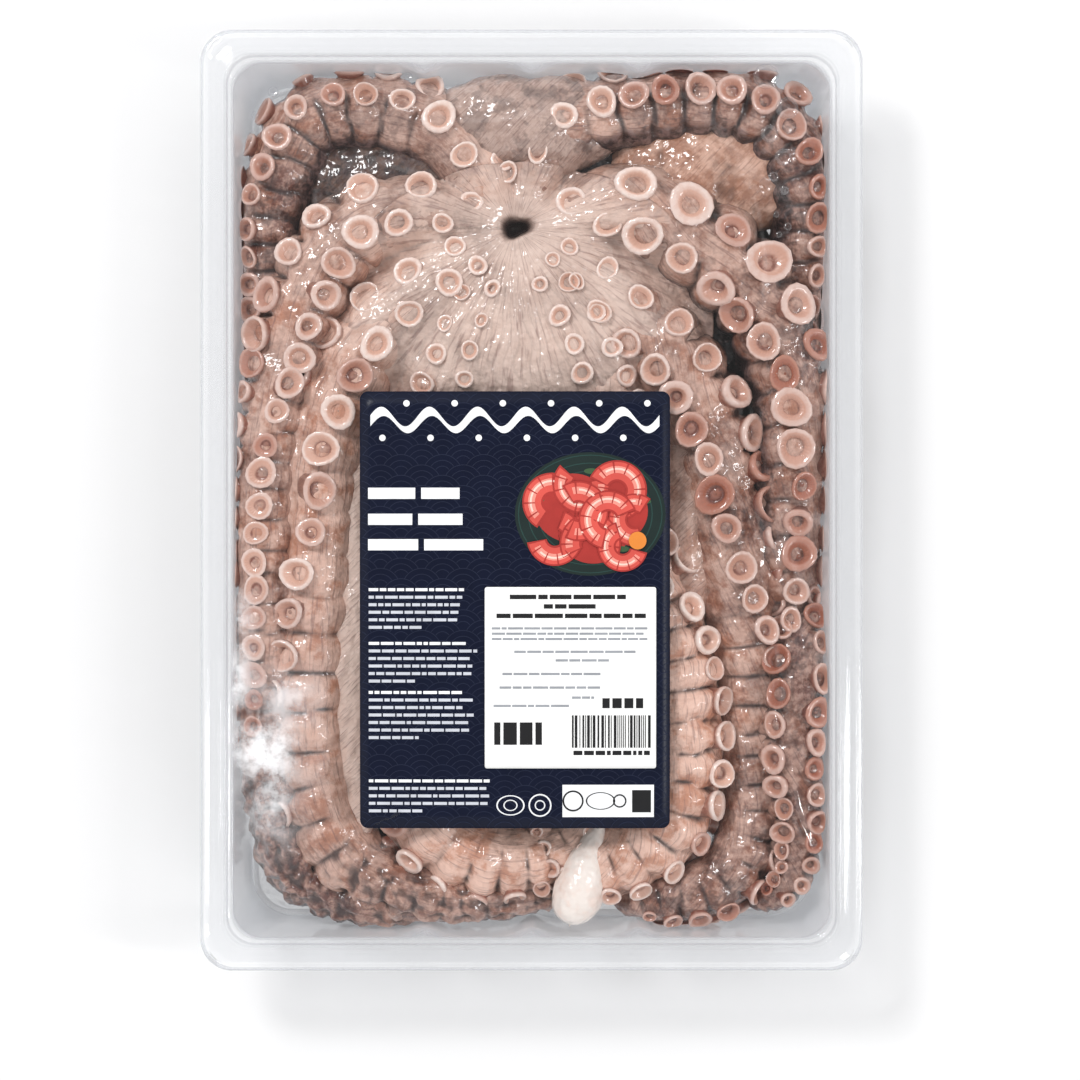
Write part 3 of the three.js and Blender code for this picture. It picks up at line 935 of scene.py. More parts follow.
        # Painted shade: darker in the finger folds, in the furrow between the rows, on the downward-facing
        # underside and in the hollows between knuckles.
        dent = beside * smooth_step(0.72 + 0.13 * self.darkness, 0.1 + 0.25 * self.darkness, crest)
        dent = dent + 0.3 * np.exp(-(off / 0.16) ** 2)
        dent = dent + (0.3 + 0.7 * self.darkness) * smooth_step(0.62, 0.05, np.cos(lean))
        dent = dent + 0.6 * knobbly * smooth_step(0.35, 0.0, knuckles)
        cloud = (0.1 + 0.3 * self.darkness) * rolling(places, 30, self.seed + 4)
        tone = self.shading(course.distance)[:, None] + cloud
        values = {
            "oral": 1 - smooth_step(0, 0.8, np.abs(off) - np.where(off > 0, self.bare[1], self.bare[0])),
            "dent": np.clip(dent, 0, 1),
            "tone": np.clip(tone, 0, 1),
            "pale": np.broadcast_to(1 - smooth_step(25, 85, course.distance)[:, None], lean.shape)
                    * (0.9 - 0.8 * self.darkness),
            "run": np.broadcast_to(course.distance[:, None], lean.shape) + 100 * self.seed,
            "around": lean * width,
        }
        first = course.at[0] - course.along[0] * course.width[0] * 0.5
        last = course.at[-1] + course.along[-1] * course.width[-1] * 0.4
        return tube_surface(points, first, last, values)

    def suckers(self, course: Course, lift: Callable[[Array], Array], cup: Cup) -> Surface:
        """Every sucker of the arm as one surface.

        Args:
            course: The arm's stations.
            lift: Raises the suckers' feet to the web where that covers the arm.
            cup: The suckers' outline.

        Returns:
            The joined suckers.
        """
        draw = np.random.default_rng(self.seed)
        beat = self.beat(course)
        beats = np.arange(math.ceil(2 * beat[0]) + 1, math.floor(2 * beat[-1])) / 2
        even = np.arange(len(beats)) % 2
        side = np.where(beats % 1 < 0.25, 1.0, -1.0)
        where = np.interp(beats, beat, course.distance)
        last = min(self.last_sucker, course.distance[-1] - course.width[-20])
        kept = (where > self.first_sucker) & (where < last)
        where, side, even = where[kept], side[kept], even[kept]
        count = len(where)
        here = course.pick(where + draw.normal(0, 0.35, count))
        lean = here.facing + side * self.row_spread * draw.uniform(0.85, 1.15, count)
        direction, reach = self.section(here, lean[:, None])
        axis = direction[:, 0]
        rooted = 1 - smooth_step(30, 80, where)
        least = np.maximum(self.root_radius * rooted, self.least_radius)
        radius = np.maximum(here.width * self.sucker, least) * draw.uniform(0.82, 1.14, count)
        sunk = (0.35 * radius * rooted)[:, None]
        foot = lift(here.at + axis * (reach + 0.05 * here.width[:, None])) - axis * sunk
        axis = unit(axis + 0.16 * draw.normal(size=(count, 3)) + rooted[:, None] * (0, 0, 2.0))
        across = unit(here.along + 0.1 * draw.normal(size=(count, 3)))
        across = unit(across - axis * np.sum(across * axis, axis=1, keepdims=True))
        aside = np.cross(axis, across)
        angle = np.arange(cup.sides) / cup.sides * TURN
        squash = draw.uniform(0.86, 1.1, (count, 1))
        wobble = 1 + 0.05 * np.sin(2 * angle + draw.uniform(0, TURN, (count, 1)))
        wobble = wobble + 0.035 * np.sin(3 * angle + draw.uniform(0, TURN, (count, 1)))
        circle = np.stack((np.broadcast_to(np.cos(angle), wobble.shape), squash * np.sin(angle)), axis=-1)
        inner = np.arange(len(cup.reach)) >= cup.lip
        reach = np.array(cup.reach) * np.where(inner, draw.uniform(0.78, 1.05, (count, 1)), 1)
        spread = (circle * wobble[..., None])[:, None] * reach[..., None, None]
        height = np.array(cup.height) * draw.uniform(0.85, 1.2, (count, 1))
        height = height + np.where(inner, draw.uniform(-0.12, 0.1, (count, 1)), 0)
        local = spread[..., :1] * across[:, None, None] + spread[..., 1:] * aside[:, None, None]
        local = local + height[:, :, None, None] * axis[:, None, None]
        rings = foot[:, None, None] + radius[:, None, None, None] * local
        middle = foot + axis * (radius * cup.depth)[:, None]
        tones = np.clip(0.7 * draw.uniform(0, 1, count) ** 3 + 0.65 * self.shading(where), 0, 1)
        return self.stack_cups(rings, middle, circle, tones * (1 - rooted), cup)

    def stack_cups(self, rings: Array, middle: Array, circle: Array, tones: Array, cup: Cup) -> Surface:
        """Joins the suckers' rings into faces.

        Args:
            rings: Places of shape suckers, rings, sides, 3.
            middle: The bottom of each cup.
            circle: The way out at each side, shape suckers, sides, 2.
            tones: How dark each sucker is.
            cup: The suckers' outline.

        Returns:
            The joined suckers.
        """
        count, levels, sides = rings.shape[:3]
        stride = levels * sides + 1
        points = np.concatenate((rings.reshape(count, -1, 3), middle[:, None]), axis=1).reshape(-1, 3)
        number, after, quads = loop_faces(levels, sides)
        pit = np.stack((np.full(sides, levels * sides), number[-1], after[-1]), axis=-1)
        base = np.stack((np.zeros(sides - 2, dtype=np.int64), after[0, 1:-1], number[0, 1:-1]), axis=-1)
        tris = np.concatenate((pit, base))
        shift = np.arange(count)[:, None, None] * stride
        level = np.broadcast_to(np.repeat(cup.colour, sides), (count, levels * sides))
        spokes = np.broadcast_to(circle[:, None], (count, levels, sides, 2)).reshape(count, -1, 2)
        zero = np.zeros((count, 1))
        values = {
            "cup": np.concatenate((level, zero + 1), axis=1).reshape(-1),
            "spoke_x": np.concatenate((spokes[..., 0], zero), axis=1).reshape(-1),
            "spoke_y": np.concatenate((spokes[..., 1], zero), axis=1).reshape(-1),
            "tone": np.repeat(tones, stride),
        }
        return Surface(points, (quads + shift).reshape(-1, 4), (tris + shift).reshape(-1, 3), values, 1)

    def build(self, room: PackRoom, web: "Web", materials: list[bpy.types.Material]) -> bpy.types.Object:
        """Makes the arm, pressed into the room.

        Args:
            room: The room inside the pack.
            web: The web, which lifts the suckers that it covers.
            materials: The skin's material and the suckers'.

        Returns:
            The piece.
        """
        course = self.course()
        surfaces = [self.skin(course), self.suckers(course, web.lift, Cup())]
        for surface in surfaces:
            surface.points = room.press(surface.points)
        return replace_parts(mesh_piece(self.name, surfaces, materials), "octopus")


ARMS = (
    Arm("arm_1", (
        (-8, 100, 20, 11, 0), (-34, 129, 19, 14, 35), (-74, 132, 18, 13.5, 45), (-89, 104, 17, 13, 50),
        (-91, 70, 14, 12, 50), (-90, 25, 10, 10, 40), (-90, -30, 9, 9.5, 30), (-90, -85, 10, 9.5, 30),
        (-84, -125, 13, 10, 30), (-62, -137, 17, 10, 30), (-38, -140, 18, 8, 20), (-23, -136, 17, 4, 10),
    ), turn=1, sucker=0.37, pitch=2.02, darkness=0.75, inner_fold=1.0, bare=(1.1, 1.6),
       seed=11, dark_tip=0.2, last_sucker=262),
    Arm("arm_2", (
        (-11, 94, 22, 8, 0), (-38, 100, 23, 12, 10), (-60, 94, 22, 15, 15), (-76, 74, 22, 15, 10),
        (-84, 48, 22, 14, 15), (-90, 20, 25, 12, 25), (-92, -20, 26, 11.5, 35), (-92, -65, 26, 10.5, 40),
        (-90, -100, 24, 9.5, 40), (-84, -124, 22, 8, 30), (-74, -136, 20, 5, 20),
    ), turn=1, sucker=0.4, pitch=2.1, darkness=0.5, inner_fold=0.7, bare=(1.2, 1.4),
       seed=22, dark_tip=0.5, last_sucker=238),
    Arm("arm_3", (
        (-12, 88, 22, 8, 0), (-38, 72, 22, 13, 10), (-60, 49, 20, 16, 20), (-71, 17, 20, 16.5, 25),
        (-74, -20, 20, 16.5, 35), (-76, -60, 20, 15.5, 60), (-75, -97, 19, 14.5, 80),
        (-62, -125, 19, 13, 85), (-35, -136, 20, 10.5, 85), (-8, -138, 19, 7, 70), (10, -137, 18, 4, 50),
    ), turn=1, sucker=0.38, pitch=2.25, darkness=0.15, inner_fold=0.3, bare=(2.6, 2.6),
       seed=33, dark_tip=0.6, last_sucker=230),
    Arm("arm_4", (
        (-11, 86, 22, 7, 0), (-24, 58, 22, 11, 0), (-36, 20, 21, 14, 0), (-43, -31, 20, 14.5, 0),
        (-43, -80, 20, 15, 20), (-38, -106, 20, 15, 65), (-22, -121, 20, 14.5, 85), (0, -124, 19, 12, 80),
        (18, -116, 18, 9, 30), (24, -90, 16, 6, 20), (20, -60, 14, 3, 10),
    ), turn=1, sucker=0.31, pitch=2.2, darkness=0.08, inner_fold=0.3, bare=(2.6, 2.6),
       seed=44, dark_tip=0.0),
    Arm("arm_5", (
        (-1, 86, 22, 7, 0), (16, 63, 22, 12, 0), (30, 27, 21, 14.5, 0), (36, -15, 21, 15, 0),
        (46, -45, 21, 15.5, 70), (51, -88, 21, 16, 80), (43, -115, 20, 15, 80), (20, -126, 19, 12, 65),
        (2, -114, 17, 8, 30), (-4, -90, 15, 4, 10),
    ), turn=-1, sucker=0.32, pitch=2.02, darkness=0.02, inner_fold=0.3, bare=(2.6, 2.6),
       seed=55, dark_tip=0.0),
    Arm("arm_6", (
        (1, 89, 22, 8, 0), (28, 69, 22, 13.5, 0), (52, 43, 21, 16.5, 5), (63, 12, 20, 16.5, 20),
        (69, -20, 20, 15.5, 30), (75, -51, 17, 14, 55), (76, -85, 15, 12.5, 80), (76, -115, 16, 12, 85),
        (66, -131, 17, 11.5, 80), (46, -138, 17, 9.5, 65), (28, -139, 16, 4, 40),
    ), turn=-1, sucker=0.37, pitch=2.05, darkness=0.6, inner_fold=0.3, bare=(2.2, 0.75),
       seed=66, dark_tip=0.25),
    Arm("arm_7", (
        (3, 92, 22, 8, 0), (32, 102, 22, 15, -5), (62, 86, 22, 17, 0), (80, 67, 21, 16.5, 0),
        (88, 45, 20, 15.5, 20), (89, 15, 20, 14.5, 35), (88, -15, 19, 13.5, 40), (87, -40, 16, 11.5, 30),
        (86, -70, 11, 10, 0), (87, -105, 9, 8.5, 0), (80, -130, 10, 5, 0),
    ), turn=-1, sucker=0.42, pitch=2.05, darkness=0.65, inner_fold=0.8, bare=(0.75, 1.3),
       seed=77, dark_tip=0.3, last_sucker=240),
    Arm("arm_8", (
        (-3, 98, 20, 10, 0), (5, 125, 19, 13, 30), (40, 136, 18, 14, 40), (76, 134, 18, 14, 40),
        (94, 112, 18, 13.5, 40), (95, 80, 16, 12.5, 40), (91, 40, 10, 10.5, 20), (91, 0, 9, 10, 0),
        (91, -35, 14, 11, 0), (92, -62, 21, 13.5, 0), (90, -85, 22, 12.5, 0), (92, -112, 21, 10.5, 0),
        (88, -132, 20, 7.5, 0), (76, -141, 17, 3.5, 0),
    ), turn=-1, sucker=0.37, pitch=2.05, darkness=0.85, inner_fold=1.0, bare=(0.85, 1.5),
       seed=88, dark_tip=0.0),
)


@dataclass
class Web:
    """The pale web round the mouth: a low dome grown together with the arms' roots.

    Attributes:
        x: Across place of its middle.
        y: Along place of its middle.
        half_x: Half its width.
        half_y: Half its length.
        top: Height of its middle.
        drop: How far it sinks to its edge.
        mouth_x: Across place of the mouth.
        mouth_y: Along place of the mouth.
        blend: How softly it runs into the arms' roots.
        root_reach: How far along the arms their roots show in it.
        lip_height: Height of the mouth's lip.
        lip_reach: Radius of the lip's crest.
        lip_width: How far the lip spreads from its crest.
        hole_depth: Depth of the mouth's hole.
        hole_reach: Radius of the hole.
        rings: Rings of points from the middle to the edge.
        sides: Points round each ring.
    """

    x: float = -3.0
    y: float = 61.0
    half_x: float = 66.0
    half_y: float = 55.0
    top: float = 38.3
    drop: float = 22.0
    mouth_x: float = -5.6
    mouth_y: float = 93.2
    blend: float = 2.2
    root_reach: float = 62.0
    lip_height: float = 1.1
    lip_reach: float = 6.0
    lip_width: float = 1.9
    hole_depth: float = 9.0
    hole_reach: float = 3.4
    rings: int = 120
    sides: int = 220

    def dome(self, x: Array, y: Array) -> Array:
        """The dome's height: its top less a drop that grows as the third power of the share out."""
        share = np.hypot((x - self.x) / self.half_x, (y - self.y) / self.half_y)
        return self.top - self.drop * share ** 3

    def roots(self, x: Array, y: Array) -> Array:
        """The highest of the arms' round tops near the mouth, sinking further out along each arm."""
        best = np.full(x.shape, -20.0)
        for arm in ARMS:
            course = arm.course()
            near = course.distance < self.root_reach
            for k in np.flatnonzero(near)[::3]:
                away = np.hypot(x - course.at[k, 0], y - course.at[k, 1])
                width = course.width[k]
                dome = np.sqrt(np.maximum(1 - (away / width) ** 2, 0)) * width * arm.tallness
                sunk = -0.5 + 6 * max(0.0, course.distance[k] / self.root_reach - 0.55)
                best = np.maximum(best, course.at[k, 2] + dome - sunk)
        return best

    def mouth_away(self, x: Array, y: Array) -> Array:
        """Distance from the mouth, shorter where its uneven hole reaches further out."""
        across, along = x - self.mouth_x, y - self.mouth_y
        way = np.arctan2(along, across)
        return np.hypot(across, along) * (1 - 0.2 * np.cos(2 * way - 0.4) - 0.13 * np.sin(3 * way + 1))

    def height(self, x: Array, y: Array) -> Array:
        """Height of the web's skin: dome and roots joined softly, with the mouth's lip and hole."""
        dome, roots = self.dome(x, y), self.roots(x, y)
        joined = self.blend * np.logaddexp(dome / self.blend, roots / self.blend)
        away = self.mouth_away(x, y)
        lip = self.lip_height * np.exp(-((away - self.lip_reach) / self.lip_width) ** 2)
        return joined + lip - self.hole_depth * np.exp(-(away / self.hole_reach) ** 4)

    def lift(self, feet: Array) -> Array:
        """Raises suckers' feet out of the web where it covers their arm."""
        x, y = feet[:, 0], feet[:, 1]
        share = np.hypot((x - self.x) / self.half_x, (y - self.y) / self.half_y)
        cover = np.where(share < 0.98, self.height(x, y) + 0.5, -20)
        return np.column_stack((x, y, np.maximum(feet[:, 2], cover)))

    def build(self, room: PackRoom, material: bpy.types.Material) -> bpy.types.Object:
        """Makes the web as rings that widen from its middle and turn down at the edge."""
        angle = np.arange(self.sides) / self.sides * TURN
        share = np.concatenate((np.linspace(0.004, 1, self.rings), np.linspace(1.0, 0.9, 6)[1:]))[::-1, None]
        under = np.concatenate((np.linspace(9, 1.5, 5), np.zeros(self.rings)))[:, None]
        x = self.x + self.half_x * share * np.cos(angle)
        y = self.y + self.half_y * share * np.sin(angle)
        away = np.hypot(x - self.mouth_x, y - self.mouth_y)
        z = self.height(x, y)
        places = np.stack((x, y, z), axis=-1)
        spokes = np.arctan2(y - self.mouth_y, x - self.mouth_x)
        spread = smooth_step(6, 22, away)
        pleats = 0.25 * spread * np.sin(26 * spokes + 1.5 * rolling(places, 24, 5))
        fibres = 0.16 * spread * np.sin(74 * spokes + 3.0 * rolling(places, 15, 6))
        gathers = 0.3 * np.exp(-(away / 12) ** 2) * np.cos(22 * spokes)
        z = z + pleats + fibres + gathers + 0.5 * rolling(places, 21, 7) - under
        points = room.press(np.stack((x, y, z), axis=-1))
        # Painted shade: the mouth's hole and the troughs between the web's fibres are darkened; the hole also
        # darkens the tone.
        hole = np.exp(-(self.mouth_away(x, y) / 4.0) ** 4)
        out = np.broadcast_to(share, x.shape)
        values = {
            "oral": np.full(x.shape, 0.95) - 0.35 * smooth_step(0.7, 1.0, out),
            "dent": np.clip(hole + 0.3 * smooth_step(0.2, 1, -fibres / 0.16) * spread, 0, 1),
            "tone": np.clip(0.12 + 0.3 * rolling(places, 26, 8) + 0.9 * hole, 0, 1),
            "pale": np.full(x.shape, 0.85) - 0.3 * smooth_step(0.6, 1.0, out),
            "run": away,
            "around": spokes * 26,
        }
        middle = np.array((self.x, self.y, float(self.height(np.array([self.x]), np.array([self.y]))[0])))
        below = np.array((self.x, self.y, 8.0))
        surface = tube_surface(points, below, middle, values)
        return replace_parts(mesh_piece("web", [surface], [material]), "octopus")


@dataclass
class Mound:
    """A low swelling of the body under the arms: a flattened ball with soft lumps.

    Attributes:
        x: Across place of its middle.
        y: Along place of its middle.
        z: Height of its middle.
        half_x: Half its width.
        half_y: Half its length.
        half_z: Half its height.
        oral: How much its skin is the sucker side's, from 0 to 1.
        tone: How dark its skin is, from 0 to 1.
        seed: Seeds its lumps.
        pale: How much its skin is the web's, from 0 to 1.
        levels: Rings of points from its foot to its top.
        sides: Points round each ring.
    """

    x: float
    y: float
    z: float
    half_x: float
    half_y: float
    half_z: float
    oral: float
    tone: float
    seed: int
    pale: float = 0.0
    levels: int = 40
    sides: int = 72

    def surface(self, room: PackRoom) -> Surface:
        """The swelling, pressed into the room."""
        lean = np.linspace(0.04, math.pi - 0.04, self.levels)[::-1, None]
        angle = np.arange(self.sides) / self.sides * TURN
        ball = np.stack((np.sin(lean) * np.cos(angle), np.sin(lean) * np.sin(angle),
                         np.broadcast_to(np.cos(lean), (self.levels, self.sides))), axis=-1)
        half = np.array((self.half_x, self.half_y, self.half_z))
        middle = np.array((self.x, self.y, self.z))
        places = middle + ball * half
        lumps = 1.1 * rolling(places, 23, self.seed) + 0.5 * rolling(places, 7, self.seed + 1)
        points = room.press(places + ball * lumps[..., None])
        shape = points.shape[:2]
        # Painted shade: darker in the hollows between the lumps.
        dent = smooth_step(0.1, 1.2, -lumps) * 0.5
        values = {
            "oral": np.full(shape, self.oral), "dent": dent, "tone": np.full(shape, self.tone),
            "pale": np.full(shape, self.pale),
            "run": places[..., 0] + places[..., 1], "around": places[..., 0] - places[..., 1],
        }
        return tube_surface(points, points[0].mean(axis=0), points[-1].mean(axis=0), values)


@dataclass
class Body:
    """What lies under and between the arms: skirt, head, bed, far folds and the pale skin beside the card."""

    skirt: Mound = field(default_factory=lambda: Mound(0, 72, 13, 88, 60, 11, 0.1, 0.9, 101))
    head: Mound = field(default_factory=lambda: Mound(-2, -10, 13, 52, 85, 12, 0.1, 0.9, 103))
    right_fold: Mound = field(default_factory=lambda: Mound(62, 113, 16, 36, 22, 14, 1.0, 0.15, 105))
    left_fold: Mound = field(default_factory=lambda: Mound(-52, 111, 14, 36, 20, 13, 0.4, 0.6, 107))
    far_fold: Mound = field(default_factory=lambda: Mound(-3, 130, 20, 36, 19, 16, 0.75, 0.5, 111, 0.7))
    bed: Mound = field(default_factory=lambda: Mound(0, 0, 6, 95, 143, 8, 0.0, 1.0, 109))
    left_skin: Mound = field(default_factory=lambda: Mound(-59, -38, 25, 13, 80, 10, 1.0, 0.0, 113, 0.8))
    right_skin: Mound = field(default_factory=lambda: Mound(53, -2, 25, 12, 46, 10, 1.0, 0.3, 115, 0.3))

    def build(self, room: PackRoom, dark: bpy.types.Material, pale: bpy.types.Material) -> bpy.types.Object:
        """Makes the body as one piece.

        Args:
            room: The room inside the pack.
            dark: The material of the skirt, the head, the bed and the side folds.
            pale: The material of the far fold and the skin beside the card.

        Returns:
            The piece.
        """
        parts = (self.skirt, self.head, self.right_fold, self.left_fold, self.bed, self.far_fold,
                 self.left_skin, self.right_skin)
        surfaces = [part.surface(room) for part in parts]
        for surface in surfaces[-3:]:
            surface.material = 1
        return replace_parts(mesh_piece("body", surfaces, [dark, pale]), "octopus")


@dataclass
class Lobe:
    """The pale teardrop of flesh between the arms at the near end."""

    way: tuple[tuple[float, ...], ...] = (
        (24, -107, 26.5, 1.4, 0), (22.6, -112.5, 27, 2.7, 0), (20.8, -118.5, 27.5, 4.6, 0),
        (18.8, -124.5, 28, 6.8, 0), (17.2, -130.5, 28.3, 8.3, 0), (15.8, -136, 28.3, 8.8, 0),
        (14.5, -140.5, 28, 7.8, 0), (13.6, -144, 27.5, 5.4, 0), (13.2, -146, 27, 2.4, 0),
    )
    sides: int = 40

    def build(self, room: PackRoom, material: bpy.types.Material) -> bpy.types.Object:
        """Makes the lobe as a smooth swept form: an arm's way and section without folds or suckers."""
        sweep = Arm("pale_lobe", self.way, turn=1, sucker=0.3, pitch=2, darkness=0.0, inner_fold=0.0,
                    bare=(3.0, 3.0), seed=9, step=0.8, sides=self.sides)
        course = sweep.course()
        lean = -np.arange(self.sides)[::-1] / self.sides * TURN
        lean = np.broadcast_to(lean, (len(course.distance), self.sides))
        direction, reach = sweep.section(course, lean)
        points = course.at[:, None] + direction * reach[..., None]
        points = points + direction * (0.25 * rolling(points, 9, 12))[..., None]
        shape = points.shape[:2]
        values = {"oral": np.ones(shape), "dent": np.zeros(shape), "tone": np.zeros(shape)}
        first, last = course.at[0] - course.along[0], course.at[-1] + course.along[-1]
        surface = tube_surface(room.press(points), first, last, values)
        piece = mesh_piece("pale_lobe", [surface], [material])
        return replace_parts(piece, "octopus")


# The pack

@dataclass
class Tray:
    """The clear tray: drafted walls with ribs, a stepped rim, a flat flange and a rolled lip."""

    room: PackRoom
    half_x: float
    half_y: float
    corner: float = 11.0
    base_corner: float = 15.0
    base_round: float = 3.0
    lip_drop: float = 3.6
    lip_roll: float = 1.6
    step_height: float = 2.0
    bead: float = 0.9
    base_steps: int = 7
    corner_steps: int = 16
    side_steps: int = 60

    def outline(self) -> Array:
        """The wall's section from the base's middle out to the lip, on the inside of the plastic.

        Each row is a distance in from the room's edge, a height and a corner radius.
        """
        room, top = self.room, self.room.flange_z
        bend = np.linspace(0, math.pi / 2, self.base_steps)
        base = room.draft + self.base_round * (1 - np.sin(bend))
        low = room.wall + self.base_round * (1 - np.cos(bend))
        rows = [(inset, z, self.base_corner - (inset - room.draft)) for inset, z in zip(base, low)]
        step_z = top - self.step_height
        for share in np.linspace(0.06, 1, 14):
            inset = room.draft + (room.step - room.draft) * share
            z = low[-1] + (step_z - low[-1]) * share
            rows.append((inset, z, self.base_corner + (room.corner - self.base_corner) * share))
        rows += [(room.step - 0.35, step_z + 0.12, room.corner), (0.35, step_z + 0.2, room.corner),
                 (0.05, step_z + 0.6, room.corner), (0.0, top - 0.5, room.corner), (-0.3, top, room.corner)]
        width = self.half_x - room.half_x
        ridges = ((0.06, 1.0), (0.1, 1.0), (0.16, 0.0), (0.24, 0.0), (0.28, 0.5), (0.32, 0.0), (0.6, 0.0),
                  (0.66, 0.0), (0.7, 0.8), (0.75, 0.8), (0.79, 0.0), (0.82, 0.0))
        for share, lift in ridges:
            rows.append((-width * share, top + lift * self.bead, room.corner + 1.5 * share))
        for angle in np.linspace(0, math.pi / 2, 6):
            inset = -(width - self.lip_roll + self.lip_roll * math.sin(angle))
            rows.append((inset, top - self.lip_roll * (1 - math.cos(angle)), self.corner))
        rows.append((-width, top - self.lip_drop, self.corner))
        return np.array(rows)

    def loops(self, rows: Array, grow: float = 0.0) -> Array:
        """The section carried round the tray, moved out by grow."""
        stack = []
        for inset, z, radius in rows:
            flat = rounded_loop(self.room.half_x - inset + grow, self.room.half_y - inset + grow,
                                max(radius, 2.0), self.corner_steps, self.side_steps)
            stack.append(np.column_stack((flat, np.full(len(flat), z))))
        return np.array(stack)

    def ribs(self, points: Array) -> Array:
        """Pushes bell-shaped ribs into the end walls, a pitch apart and fading out below the step."""
        x, y, z = (points[..., k] for k in range(3))
        span = smooth_step(3, 8, z) * (1 - smooth_step(self.room.flange_z - 7, self.room.flange_z - 3, z))
        end = smooth_step(self.room.half_y - 9, self.room.half_y - 7, np.abs(y))
        return points - np.stack((0 * x, np.sign(y) * self.room.rib(x) * span * end, 0 * z), axis=-1)

    def build(self, material: bpy.types.Material) -> bpy.types.Object:
        """Makes the tray as one closed skin, underside first and then the inside."""
        rows = self.outline()
        inside = self.loops(rows)[::-1]
        wall = self.room.wall
        outside = self.loops(rows, wall)
        drop = np.where(rows[:, 1] >= self.room.flange_z - 0.6, wall, 0.0)
        drop[:self.base_steps] = np.linspace(wall, wall * 0.3, self.base_steps)
        outside[..., 2] -= drop[:, None]
        keep = rows[:, 0] > -(self.half_x - self.room.half_x) + wall
        outside = np.concatenate((outside[keep], self.loops(rows[-1:], -wall)))
        loops = self.ribs(np.concatenate((outside, inside)))
        surface = tube_surface(loops, np.array((0.0, 0, 0)), np.array((0, 0, wall)))
        piece = mesh_piece("clear_tray", [surface], [material])
        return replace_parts(piece, "tray")


